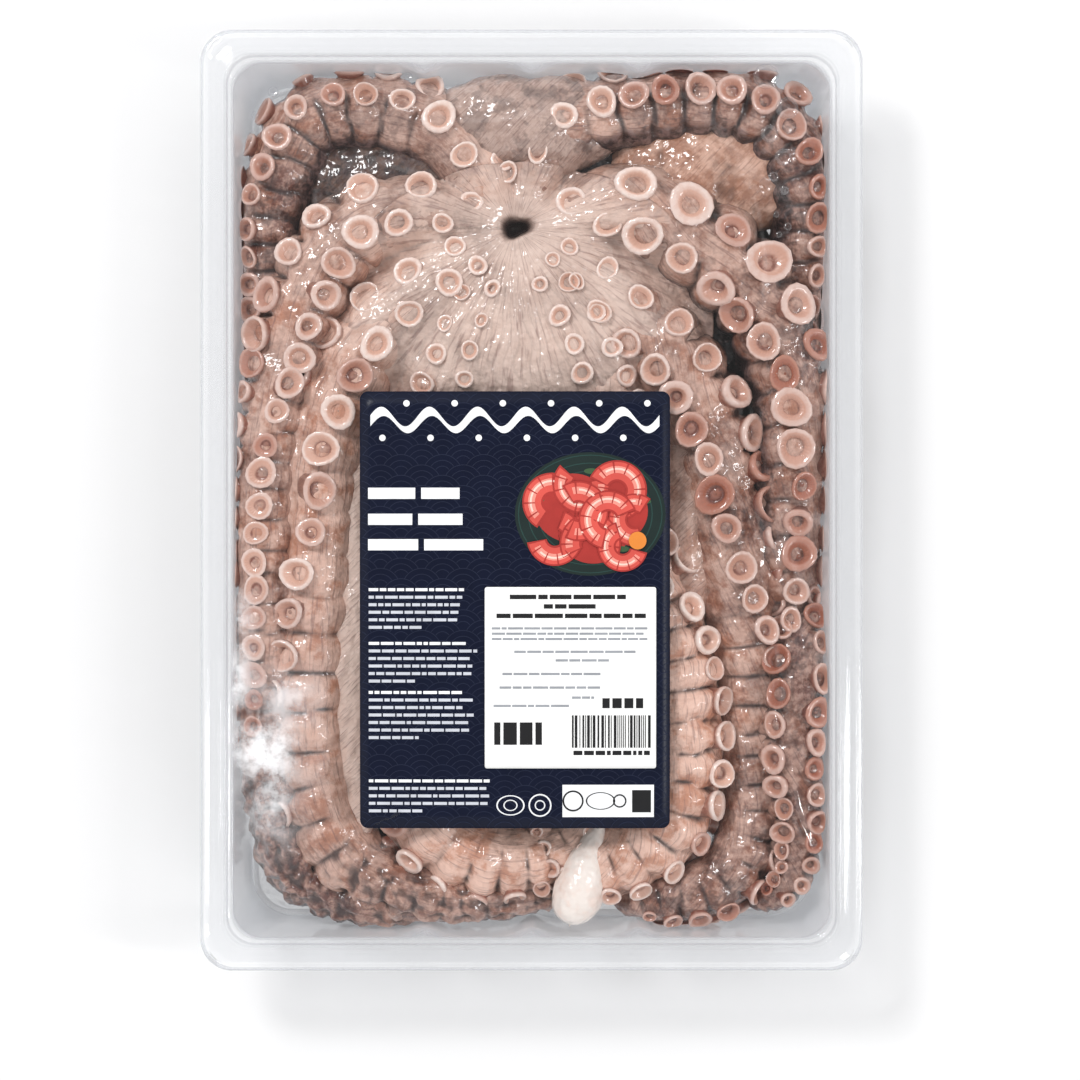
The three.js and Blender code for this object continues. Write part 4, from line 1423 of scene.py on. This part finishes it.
@dataclass
class Film:
    """The sealed film: flat on the flange, risen over the octopus, with creases and a frosted fold.

    Attributes:
        room: The room under it.
        half_x: Half its width.
        half_y: Half its length.
        corner: Its corners' radius.
        gap: How far it lies over the flange.
        creases: Both ends of each long crease, its width and its height.
        small_creases: How many short creases there are.
        frost: Middle, half sizes and strength of each frosted spot.
        frost_middle: Middle of the frosted layer.
        frost_half: Half sizes of the frosted layer.
        bubbles: Middle and radius of each bubble.
        bubble_reach: The rings of a bubble's section, as shares of its radius.
        bubble_lift: Each ring's height, for a bubble of 2 mm or more.
        bubble_sides: Points round a bubble.
    """

    room: PackRoom
    half_x: float
    half_y: float
    corner: float
    gap: float = 0.42
    creases: tuple[tuple[float, ...], ...] = (
        (-97, -62, -82, -98, 1.4, 1.2), (-99, -70, -90, -92, 1.0, 1.0), (-92, -58, -70, -88, 2.0, 0.9),
        (55, 134, 92, 96, 1.4, 1.0), (60, 118, 86, 104, 1.8, 0.9), (70, 140, 98, 118, 1.0, 0.8),
        (88, -96, 100, -128, 1.2, 0.9), (30, 120, 52, 98, 1.6, 0.7), (-60, 118, -30, 108, 1.1, 0.8),
        (-30, 128, 6, 132, 1.0, 0.7), (90, 60, 99, 20, 1.0, 0.7), (-97, -110, -76, -136, 1.1, 0.9),
    )
    small_creases: int = 70
    frost: tuple[tuple[float, ...], ...] = (
        (-91, -84, 13, 10, 0.95), (-83, -66, 9, 7, 0.5), (-101, -62, 5, 8, 0.8), (-89, -104, 8, 12, 0.6),
        (-98, -42, 3.5, 12, 0.5),
    )
    frost_middle: tuple[float, float] = (-85.5, -78.0)
    frost_half: tuple[float, float] = (17.5, 50.0)
    bubbles: tuple[tuple[float, float, float], ...] = (
        (79.8, 144.1, 3.9), (86.9, 133.2, 3.5), (80.9, 124.4, 2.8), (85.6, 116.6, 2.7), (82.2, 109.8, 1.7),
        (85.9, 105.1, 1.5), (83.2, 97.0, 1.0), (87.1, 92.9, 1.3), (84.1, 90.2, 1.0), (-88, 139, 1.6),
        (-94, 131, 1.1), (97, 128, 1.2), (-42, 144, 1.3),
    )
    bubble_reach: tuple[float, ...] = (0.02, 0.4, 0.75, 0.86, 0.94, 1.02, 1.1)
    bubble_lift: tuple[float, ...] = (0.2, 0.16, 0.05, 0.3, 0.45, 0.3, -0.1)
    bubble_sides: int = 32

    def all_creases(self) -> Array:
        """The long creases, and short ones at random near the edge where the film is stretched."""
        draw = np.random.default_rng(61)
        count = self.small_creases
        way = draw.uniform(0, TURN, count)
        reach = draw.uniform(0.7, 0.93, count) / np.maximum(np.abs(np.cos(way)), np.abs(np.sin(way)))
        x, y = self.room.half_x * reach * np.cos(way), self.room.half_y * reach * np.sin(way)
        run, turn = draw.uniform(9, 30, count), draw.uniform(0, TURN, count)
        small = np.stack((x, y, x + run * np.cos(turn), y + run * np.sin(turn),
                          draw.uniform(0.5, 1.1, count), draw.uniform(0.35, 0.8, count)), axis=-1)
        return np.concatenate((np.array(self.creases), small))

    def rime(self, x: Array, y: Array) -> Array:
        """How frosted the film is: oval bells at a few places."""
        cover = np.zeros(x.shape)
        for middle_x, middle_y, half_x, half_y, strength in self.frost:
            cover += strength * np.exp(-((x - middle_x) / half_x) ** 2 - ((y - middle_y) / half_y) ** 2)
        return np.clip(cover, 0, 0.9)

    def top(self, x: Array, y: Array) -> Array:
        """Height of the film."""
        return self.room.film_height(x, y) + self.gap + self.relief(x, y)

    def bubble(self, x: float, y: float, radius: float) -> Surface:
        """A small closed bubble: a thin round rib on the film, with a low blister inside it."""
        share = np.array(self.bubble_reach)[:, None]
        lift = np.array(self.bubble_lift)[:, None] * min(radius, 2.0) / 2
        angle = -np.arange(self.bubble_sides) / self.bubble_sides * TURN
        at_x, at_y = x + radius * share * np.cos(angle), y + radius * share * np.sin(angle)
        z = self.top(at_x, at_y) + lift + 0.12
        loops = np.stack((at_x, at_y, z), axis=-1)
        below = loops[::-1] - np.array((0, 0, 0.1))
        return tube_surface(np.concatenate((loops, below)), loops[0].mean(axis=0), below[-1].mean(axis=0))

    def frosting(self) -> Surface:
        """A thin frosted layer on the film where it is folded, at the left of the near end."""
        (middle_x, middle_y), (half_x, half_y) = self.frost_middle, self.frost_half
        x, y = np.meshgrid(np.linspace(middle_x - half_x, middle_x + half_x, 60),
                           np.linspace(middle_y - half_y, middle_y + half_y, 130))
        z = self.top(x, y) + 0.15
        edge = smooth_step(0, 0.12, 1 - np.abs((x - middle_x) / half_x))
        edge = edge * smooth_step(0, 0.08, 1 - np.abs((y - middle_y) / half_y))
        return grid_surface(np.stack((x, y, z), axis=-1), {"frost": self.rime(x, y) * edge}, 1)

    def relief(self, x: Array, y: Array) -> Array:
        """Creases and slack, fading to nothing on the flange.

        A crease is a ridge whose section is a bell, along a bowed line that fades at its ends. The
        slack is soft waves.
        """
        height = np.zeros(x.shape)
        for x0, y0, x1, y1, width, lift in self.all_creases():
            run = np.array((x1 - x0, y1 - y0))
            length = np.hypot(*run)
            share = ((x - x0) * run[0] + (y - y0) * run[1]) / length ** 2
            bow = 0.06 * length * np.sin(math.pi * np.clip(share, 0, 1))
            across = ((x - x0) * run[1] - (y - y0) * run[0]) / length - bow
            ends = smooth_step(-0.1, 0.25, share) * (1 - smooth_step(0.75, 1.1, share))
            height += lift * np.exp(-(across / width) ** 2) * ends
        places = np.stack((x, y, 0 * x), axis=-1)
        slack = 0.4 * rolling(places, 40, 41) + 0.09 * rolling(places, 14, 42)
        out = np.maximum(np.abs(x) / self.room.half_x, np.abs(y) / self.room.half_y)
        inside = 1 - smooth_step(0.9, 0.99, out)
        return (height + slack) * inside

    def build(self, materials: list[bpy.types.Material]) -> bpy.types.Object:
        """Makes the film as one sheet of nested loops, open at its rim, with frosted layer and bubbles."""
        shares = np.concatenate((np.linspace(1, 0.905, 16), np.linspace(0.9, 0.01, 110)))
        flat = nested_loops((self.half_x, self.half_y), self.corner, shares, (8, 90))
        x, y = flat[..., 0], flat[..., 1]
        surfaces = [disc_surface(np.stack((x, y, self.top(x, y)), axis=-1)), self.frosting()]
        surfaces += [self.bubble(*row) for row in self.bubbles]
        piece = mesh_piece("clear_film_sheet", surfaces, materials)
        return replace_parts(piece, "film")


class Ink(Enum):
    """The print's colours."""

    WAVE = ("wave_blue", "1B2239")
    WHITE = ("print_white", "F1F2F4")
    SMALL = ("small_print", "C9CCD5")
    PLATE = ("plate_green", "172725")
    RIM = ("plate_rib", "24403C")
    DEEP = ("deep_coral", "A9342F")
    CORAL = ("coral_red", "D4544A")
    SHELL = ("shell_pink", "EE9486")
    CREAM = ("cream", "F7CFC1")
    ORANGE = ("warm_orange", "E58A3A")
    LEAF = ("leaf_green", "3F5A3C")
    BLACK = ("print_black", "1B1B1D")
    GREY = ("print_grey", "9A9DA3")


@dataclass
class Printed:
    """A sheet that lies on the film, with its print as thin flat shapes.

    Attributes:
        name: The piece's name.
        node: The node that it stands for.
        slot: The name of its material slot; not used.
        x: Across place of its middle.
        y: Along place of its middle.
        width: Its width.
        length: Its length.
        corner: Its corners' radius.
        base: Height of its underside over the flange.
        thickness: Its thickness.
        ink_depth: How far each layer of print stands above the one before.
        ink_gap: How far the first layer stands above the sheet.
        shapes: The print's surfaces, by ink.
    """

    room: PackRoom
    name: str
    node: str
    slot: str
    x: float
    y: float
    width: float
    length: float
    corner: float
    base: float
    thickness: float
    ink_depth: float = 0.02
    ink_gap: float = 0.03
    shapes: dict[Ink, list[Surface]] = field(default_factory=dict)

    def top(self, x: Array, y: Array) -> Array:
        """Height of its upper face."""
        return self.room.film_height(x, y) + self.base + self.thickness

    def patch(self, ink: Ink, x0: float, y0: float, x1: float, y1: float, layer: int = 1) -> None:
        """Prints a rectangle.

        Args:
            ink: Its ink.
            x0: Its left edge, from the sheet's left edge.
            y0: Its upper edge, down from the sheet's far edge.
            x1: Its right edge.
            y1: Its lower edge.
            layer: Which layer of print it is in.
        """
        columns = max(1, math.ceil((x1 - x0) / 8))
        rows = max(1, math.ceil((y1 - y0) / 8))
        x = self.x - self.width / 2 + np.linspace(x0, x1, columns + 1)
        y = self.y + self.length / 2 - np.linspace(y1, y0, rows + 1)
        self.put(ink, *np.meshgrid(x, y), layer)

    def band(self, ink: Ink, x: float, y: float, outer: float, inner: float = 0.0, squash: float = 1.0,
             start: float = 0.0, stop: float = TURN, layer: int = 1) -> None:
        """Prints a disc, a ring or part of one.

        Args:
            ink: Its ink.
            x: Its middle, from the sheet's left edge.
            y: Its middle, down from the sheet's far edge.
            outer: Its outer radius.
            inner: Its inner radius.
            squash: Its height, as a share of its width.
            start: Where it starts, in radians anticlockwise from the right.
            stop: Where it ends.
            layer: Which layer of print it is in.
        """
        rings = max(2, math.ceil((outer - inner) / 6) + 1)
        steps = max(6, math.ceil(48 * (stop - start) / TURN))
        radius, angle = np.meshgrid(np.linspace(max(inner, 0.01), outer, rings),
                                    np.linspace(start, stop, steps + 1))
        middle_x, middle_y = self.x - self.width / 2 + x, self.y + self.length / 2 - y
        self.put(ink, middle_x + radius * np.cos(angle), middle_y + squash * radius * np.sin(angle), layer)

    def put(self, ink: Ink, x: Array, y: Array, layer: int) -> None:
        """Adds a grid of the sheet's places to an ink's shapes."""
        z = self.top(x, y) + self.ink_gap + self.ink_depth * layer
        self.shapes.setdefault(ink, []).append(grid_surface(np.stack((x, y, z), axis=-1)))

    def words(self, ink: Ink, x0: float, y0: float, x1: float, height: float, gap: float, mean: float,
              draw: np.random.Generator, layer: int = 1) -> None:
        """Prints one line of plain bars of uneven length.

        Args:
            ink: The line's ink.
            x0: Where it starts, from the sheet's left edge.
            y0: Its upper edge, down from the sheet's far edge.
            x1: Where it ends at most.
            height: The bars' height.
            gap: The gap after each bar.
            mean: The bars' usual length.
            draw: Draws their lengths.
            layer: Which layer of print it is in.
        """
        x = x0
        while x < x1 - mean * 0.4:
            end = min(x + mean * draw.uniform(0.45, 1.6), x1)
            self.patch(ink, x, y0, end, y0 + height, layer)
            x = end + gap

    def build(self, material: bpy.types.Material) -> list[bpy.types.Object]:
        """Makes the sheet and one thin piece for each ink on it."""
        flat = nested_loops((self.width / 2, self.length / 2), self.corner, np.linspace(0.02, 1, 16), (6, 16))
        x, y = self.x + flat[..., 0], self.y + flat[..., 1]
        sheet = np.stack((x, y, self.top(x, y)), axis=-1)
        above, below = sheet[::-1], sheet - np.array((0, 0, self.thickness))
        surface = tube_surface(np.concatenate((below, above)), below[0].mean(axis=0), above[-1].mean(axis=0))
        pieces = [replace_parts(mesh_piece(self.name, [surface], [material]), self.node)]
        for ink, surfaces in self.shapes.items():
            finish = PaperFinish(f"{self.name}_{ink.value[0]}", linear(ink.value[1]), 0.45)
            pieces.append(mesh_piece(f"{self.name}_{ink.value[0]}", surfaces, [finish.build()]))
        return pieces


@dataclass
class CardPrint:
    """What is printed on the card: waves, a plain ornament, bars for text, a dish and small signs."""

    card: Printed
    wave_radius: float = 7.0
    wave_arcs: tuple[float, ...] = (0.96, 0.68, 0.4)
    wave_line: float = 0.22
    margin: float = 0.6
    heading: tuple[float, ...] = (3.6, 4.2, 101.4, 15.6)
    dish: tuple[float, float, float] = (78.0, 41.5, 25.5)

    def waves(self) -> None:
        """Rows of overlapping scales: each is three arcs, hidden where a nearer row's scale covers it."""
        radius = self.wave_radius
        step = radius / 2
        angle = np.linspace(0.12, math.pi - 0.12, 25)
        middle = (angle[:-1] + angle[1:]) / 2
        for row in range(int(self.card.length / step) + 2):
            for column in range(int(self.card.width / (2 * radius)) + 2):
                x, y = (2 * column + row % 2) * radius, row * step
                for share in self.wave_arcs:
                    reach = radius * share
                    at_x, at_y = x + reach * np.cos(middle), y - reach * np.sin(middle)
                    near = np.minimum(np.hypot(at_x - x - radius, at_y - y - step),
                                      np.hypot(at_x - x + radius, at_y - y - step))
                    hidden = (near < radius) | (np.hypot(at_x - x, at_y - y - 2 * step) < radius)
                    inside = (at_x > self.margin) & (at_x < self.card.width - self.margin)
                    inside &= (at_y > self.margin) & (at_y < self.card.length - self.margin)
                    shown = np.flatnonzero(inside & ~hidden)
                    for run in np.split(shown, np.flatnonzero(np.diff(shown) > 1) + 1):
                        if len(run):
                            self.card.band(Ink.WAVE, x, y, reach, reach - self.wave_line, 1.0,
                                           angle[run[0]], angle[run[-1] + 1])

    def ornament(self) -> None:
        """A plain border across the head of the card: a broad wave between two rows of dots."""
        x0, y0, x1, y1 = self.heading
        middle, swing, pitch = (y0 + y1) / 2, (y1 - y0) * 0.27, (x1 - x0) / 6
        x = np.linspace(x0, x1, 241)
        wave = swing * np.sin((x - x0) / pitch * TURN)
        thick = 1.35 + 0.55 * np.sin((x - x0) / pitch * TURN + 1.2)
        across = np.linspace(-1, 1, 3)[:, None]
        left, far = self.card.x - self.card.width / 2, self.card.y + self.card.length / 2
        self.card.put(Ink.WHITE, *np.broadcast_arrays(left + x, far - middle + wave + across * thick), 2)
        for k in range(12):
            side = 1 if k % 2 else -1
            self.card.band(Ink.WHITE, x0 + pitch * (k / 2 + 0.25), middle - side * swing * 1.9, 1.1, layer=2)

    def text(self) -> None:
        """Bars where the card carries text: three bold lines and four blocks of small print."""
        draw = np.random.default_rng(77)
        for y, words in ((32.6, (16, 13)), (41.4, (15, 15)), (50.0, (17, 20))):
            x = 2.8
            for length in words:
                self.card.patch(Ink.WHITE, x, y, x + length, y + 3.8, 2)
                x += length + 2.0
        for top, lines, reach in ((66.6, 6, 33.0), (84.8, 6, 37.0), (101.4, 7, 36.0), (131.4, 5, 42.0)):
            for line in range(lines):
                end = reach * draw.uniform(0.9, 1.0) if line < lines - 1 else reach * draw.uniform(0.4, 0.7)
                ink = Ink.WHITE if line == 0 else Ink.SMALL
                self.card.words(ink, 3.0, top + line * 2.55, 3.0 + end, 1.0, 0.55, 3.0, draw, 2)

    def curl(self, x: float, y: float, size: float, turn: float, layer: int) -> None:
        """One curled slice: nested arcs from deep red to a pale streak, with bands across.

        Args:
            x: Its middle, from the card's left edge.
            y: Its middle, down from the card's far edge.
            size: Its radius.
            turn: Where its arc starts, in radians.
            layer: The layer of its lowest arc.
        """
        card = self.card
        arcs = ((Ink.DEEP, 1.04, 0.3, 0.0), (Ink.CORAL, 0.98, 0.38, 0.08), (Ink.SHELL, 0.84, 0.6, 0.3),
                (Ink.CREAM, 0.78, 0.71, 0.6))
        for k, (ink, outer, inner, trim) in enumerate(arcs):
            card.band(ink, x, y, size * outer, size * inner, 1.0, turn + trim, turn + 4.2 - trim, layer + k)
        for k in range(7):
            at = turn + 0.4 + 0.55 * k
            card.band(Ink.DEEP, x, y, size * 0.99, size * 0.6, 1.0, at, at + 0.06, layer + 4)

    def picture(self) -> None:
        """A dark oval plate with curled coral slices, a round of orange and some leaves."""
        x, y, radius = self.dish
        card = self.card
        card.band(Ink.PLATE, x, y, radius, squash=0.82, layer=2)
        for k in range(5):
            share = 0.96 - 0.13 * k
            card.band(Ink.RIM, x, y, radius * share, radius * (share - 0.015), squash=0.82, layer=3)
        for k in range(5):
            turn = TURN * k / 5 + 0.3
            card.band(Ink.LEAF, x + 19 * math.cos(turn), y - 14.5 * math.sin(turn), 2.4, squash=0.4, layer=4)
        for shift_x, shift_y, size in ((-6, -2, 13), (7, -1, 12.5), (1, 6, 12)):
            card.band(Ink.DEEP, x + shift_x, y + shift_y, size, squash=0.9, layer=4)
        spots = ((-13, -4, 9.6), (-3, -10, 9.4), (9, -8, 9.8), (15, 2, 8.6), (-12, 8, 9.2), (0, 10, 10.0),
                 (11, 11, 8.2), (-4, -1, 9.8), (6, 2, 9.6))
        for k, (shift_x, shift_y, size) in enumerate(spots):
            self.curl(x + shift_x, y + shift_y, size, 2.4 * k, 5 + 3 * k)
        card.band(Ink.ORANGE, x + 16, y + 9, 3.0, layer=36)

    def signs(self) -> None:
        """A white box with plain shapes, and two small outlines beside it, at the foot."""
        card = self.card
        pale_rings = ((51, 4.8, 4.3, 0.72), (51, 2.4, 2, 0.8), (61, 3.9, 3.4, 1), (61, 1.8, 1.4, 1))
        for x, outer, inner, squash in pale_rings:
            card.band(Ink.WHITE, x, 140.2, outer, inner, squash, layer=2)
        card.patch(Ink.WHITE, 68.6, 133.2, 99.6, 144.2, 2)
        card.patch(Ink.BLACK, 92.2, 135.0, 98.6, 142.6, 3)
        for x, outer, inner, squash in ((72.2, 3.6, 3.0, 1), (81.5, 5.0, 4.5, 0.6), (88.0, 2.3, 1.8, 1)):
            card.band(Ink.BLACK, x, 138.7, outer, inner, squash, layer=3)

    def build(self) -> None:
        """Lays out all of the card's print."""
        self.waves()
        self.ornament()
        self.text()
        self.picture()
        self.signs()


@dataclass
class SlipPrint:
    """What is printed on the weight slip: grey lines, bars in place of figures and a plain barcode."""

    slip: Printed

    def build(self) -> None:
        """Lays out all of the slip's print."""
        draw = np.random.default_rng(31)
        slip = self.slip
        for y, x0, x1 in ((2.6, 8.5, 49.5), (5.8, 20.0, 37.5), (9.0, 4.0, 54.5)):
            slip.words(Ink.BLACK, x0, y, x1, 1.5, 0.7, 6.0, draw)
        for y in (13.6, 15.4, 17.2):
            slip.words(Ink.GREY, 2.4, y, 55.0, 0.75, 0.45, 3.6, draw)
        for y, x0, x1 in ((21.5, 10, 51), (24.4, 24, 42), (29.0, 6, 40), (33.6, 5, 40), (39.8, 3, 30)):
            slip.words(Ink.GREY, x0, y, x1, 0.8, 0.5, 4.0, draw)
        x = 29.5
        while x < 56.0:
            width = draw.choice((0.3, 0.3, 0.6, 0.9))
            slip.patch(Ink.BLACK, x, 43.4, x + width, 54.4)
            x += width + draw.choice((0.35, 0.35, 0.7))
        figures = ((Ink.BLACK, 30.0, 55.4, 56.0, 1.5, 0.6, 2.2), (Ink.BLACK, 39.8, 37.6, 53.6, 3.4, 0.9, 2.6),
                   (Ink.BLACK, 3.2, 45.8, 21.5, 7.6, 1.0, 2.9), (Ink.GREY, 29.5, 37.0, 37.0, 0.8, 0.4, 2.0))
        for figure in figures:
            slip.words(*figure, draw)


# Surroundings

@dataclass
class Studio:
    """A white floor, a soft light from the far left, and the camera straight above.

    Attributes:
        camera_x: Across place of the camera, in millimetres.
        camera_y: Its along place, in millimetres.
        card_z: Height at which the view is view_width across, in millimetres.
        view_width: Width of the view there, in millimetres.
        lens: Focal length, in millimetres.
        sensor: The sensor's width, in millimetres.
        floor_half: Half the floor's width, in millimetres.
        sky: Strength of the surround.
        sky_top: Its strength straight overhead.
        dim: Height shares of the sky between which it dims.
    """

    camera_x: float = 2.9
    camera_y: float = -13.6
    card_z: float = 44.0
    view_width: float = 366.0
    lens: float = 100.0
    sensor: float = 36.0
    floor_half: float = 3000.0
    sky: float = 1.0
    sky_top: float = 0.25
    dim: tuple[float, float] = (0.8, 0.97)

    def floor(self) -> None:
        """A wide white floor under the tray."""
        half = self.floor_half
        corners = np.array((((-half, -half, 0), (half, -half, 0)), ((-half, half, 0), (half, half, 0))))
        finish = PaperFinish("floor_white", (0.8, 0.8, 0.805), 0.7, clouding=0.0, specular=0.0)
        mesh_piece("floor", [grid_surface(corners)], [finish.build()])

    def lamp(self, name: str, at: tuple[float, float, float], size: tuple[float, float],
             power: float) -> None:
        """A soft box that looks at the object.

        Args:
            name: The lamp's name.
            at: Its place, in metres.
            size: Its width and height, in metres.
            power: Its power, in watts.
        """
        light = bpy.data.lights.new(name, "AREA")
        light.shape = "RECTANGLE"
        light.size, light.size_y = size
        light.energy = power
        lamp = bpy.data.objects.new(name, light)
        lamp.location = at
        lamp.rotation_euler = (-lamp.location).to_track_quat("-Z", "Y").to_euler()
        bpy.context.scene.collection.objects.link(lamp)

    def surround(self) -> None:
        """A white surround that darkens straight overhead, where the camera hangs."""
        world = bpy.data.worlds.new("surround")
        world.use_nodes = True
        tree = world.node_tree
        way = tree.nodes.new("ShaderNodeTexCoord")
        parts = tree.nodes.new("ShaderNodeSeparateXYZ")
        dim = tree.nodes.new("ShaderNodeMapRange")
        dim.interpolation_type = "SMOOTHSTEP"
        ends = {"From Min": self.dim[0], "From Max": self.dim[1], "To Min": self.sky, "To Max": self.sky_top}
        for name, value in ends.items():
            dim.inputs[name].default_value = value
        tree.links.new(way.outputs["Generated"], parts.inputs[0])
        tree.links.new(parts.outputs["Z"], dim.inputs["Value"])
        tree.links.new(dim.outputs["Result"], tree.nodes["Background"].inputs["Strength"])
        tree.nodes["Background"].inputs["Color"].default_value = (1, 1, 1, 1)
        bpy.context.scene.world = world

    def lights(self) -> None:
        """The surround, a key lamp at the far left and a strip at the right."""
        self.surround()
        self.lamp("key", (-1.2, 1.4, 2.2), (0.6, 0.6), 38)
        self.lamp("strip", (1.8, -0.3, 1.6), (0.2, 1.0), 14)

    def camera(self) -> None:
        """A long lens straight above, framed by the card's height."""
        lens = bpy.data.cameras.new("camera")
        lens.lens = self.lens
        lens.sensor_width = self.sensor
        lens.clip_end = 20
        camera = bpy.data.objects.new("camera", lens)
        rise = self.view_width * self.lens / self.sensor
        camera.location = (self.camera_x * MM, self.camera_y * MM, (rise + self.card_z) * MM)
        bpy.context.scene.collection.objects.link(camera)
        bpy.context.scene.camera = camera

    def build(self) -> None:
        """Sets up the floor, the lights and the camera."""
        self.floor()
        self.lights()
        self.camera()
        bpy.context.scene.view_settings.view_transform = "Standard"


def main() -> None:
    """Builds the pack in order: the surroundings, the octopus, the tray and film, and the labels."""
    logging.basicConfig(level=logging.INFO, format="%(message)s")
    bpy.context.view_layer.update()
    Studio().build()

    tray_high = np.array(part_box("tray")[1]) / MM
    film_high = np.array(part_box("film")[1]) / MM
    room = PackRoom(flange_z=float(tray_high[2]))

    arm_materials = [ARM_SKIN.build(), SUCKER_FLESH.build()]
    web = Web()
    web.build(room, arm_materials[0])
    Body().build(room, DARK_SKIN.build(), arm_materials[0])
    Lobe().build(room, LOBE_SKIN.build())
    for arm in ARMS:
        arm.build(room, web, arm_materials)

    Tray(room, float(tray_high[0]), float(tray_high[1])).build(TRAY_PLASTIC.build())
    film = Film(room, float(film_high[0]), float(film_high[1]), corner=8.4)
    film.build([FILM_PLASTIC.build(), FROSTED_FILM.build()])

    card = Printed(room, "card_sheet", "card", "printed_card", x=-5.6, y=-37.3, width=105, length=148,
                   corner=2.7, base=0.9, thickness=0.3)
    CardPrint(card).build()
    card.build(PaperFinish("card_blue", linear("13182B"), 0.3, specular=0.15).build())
    slip = Printed(room, "slip_sheet", "weight_slip", "slip_paper", x=13.2, y=-60.2, width=58, length=61.4,
                   corner=0.8, base=1.5, thickness=0.2)
    SlipPrint(slip).build()
    slip.build(PaperFinish("slip_white", linear("F4F4F3"), 0.55, 0.02).build())


if __name__ == "__main__":
    main()
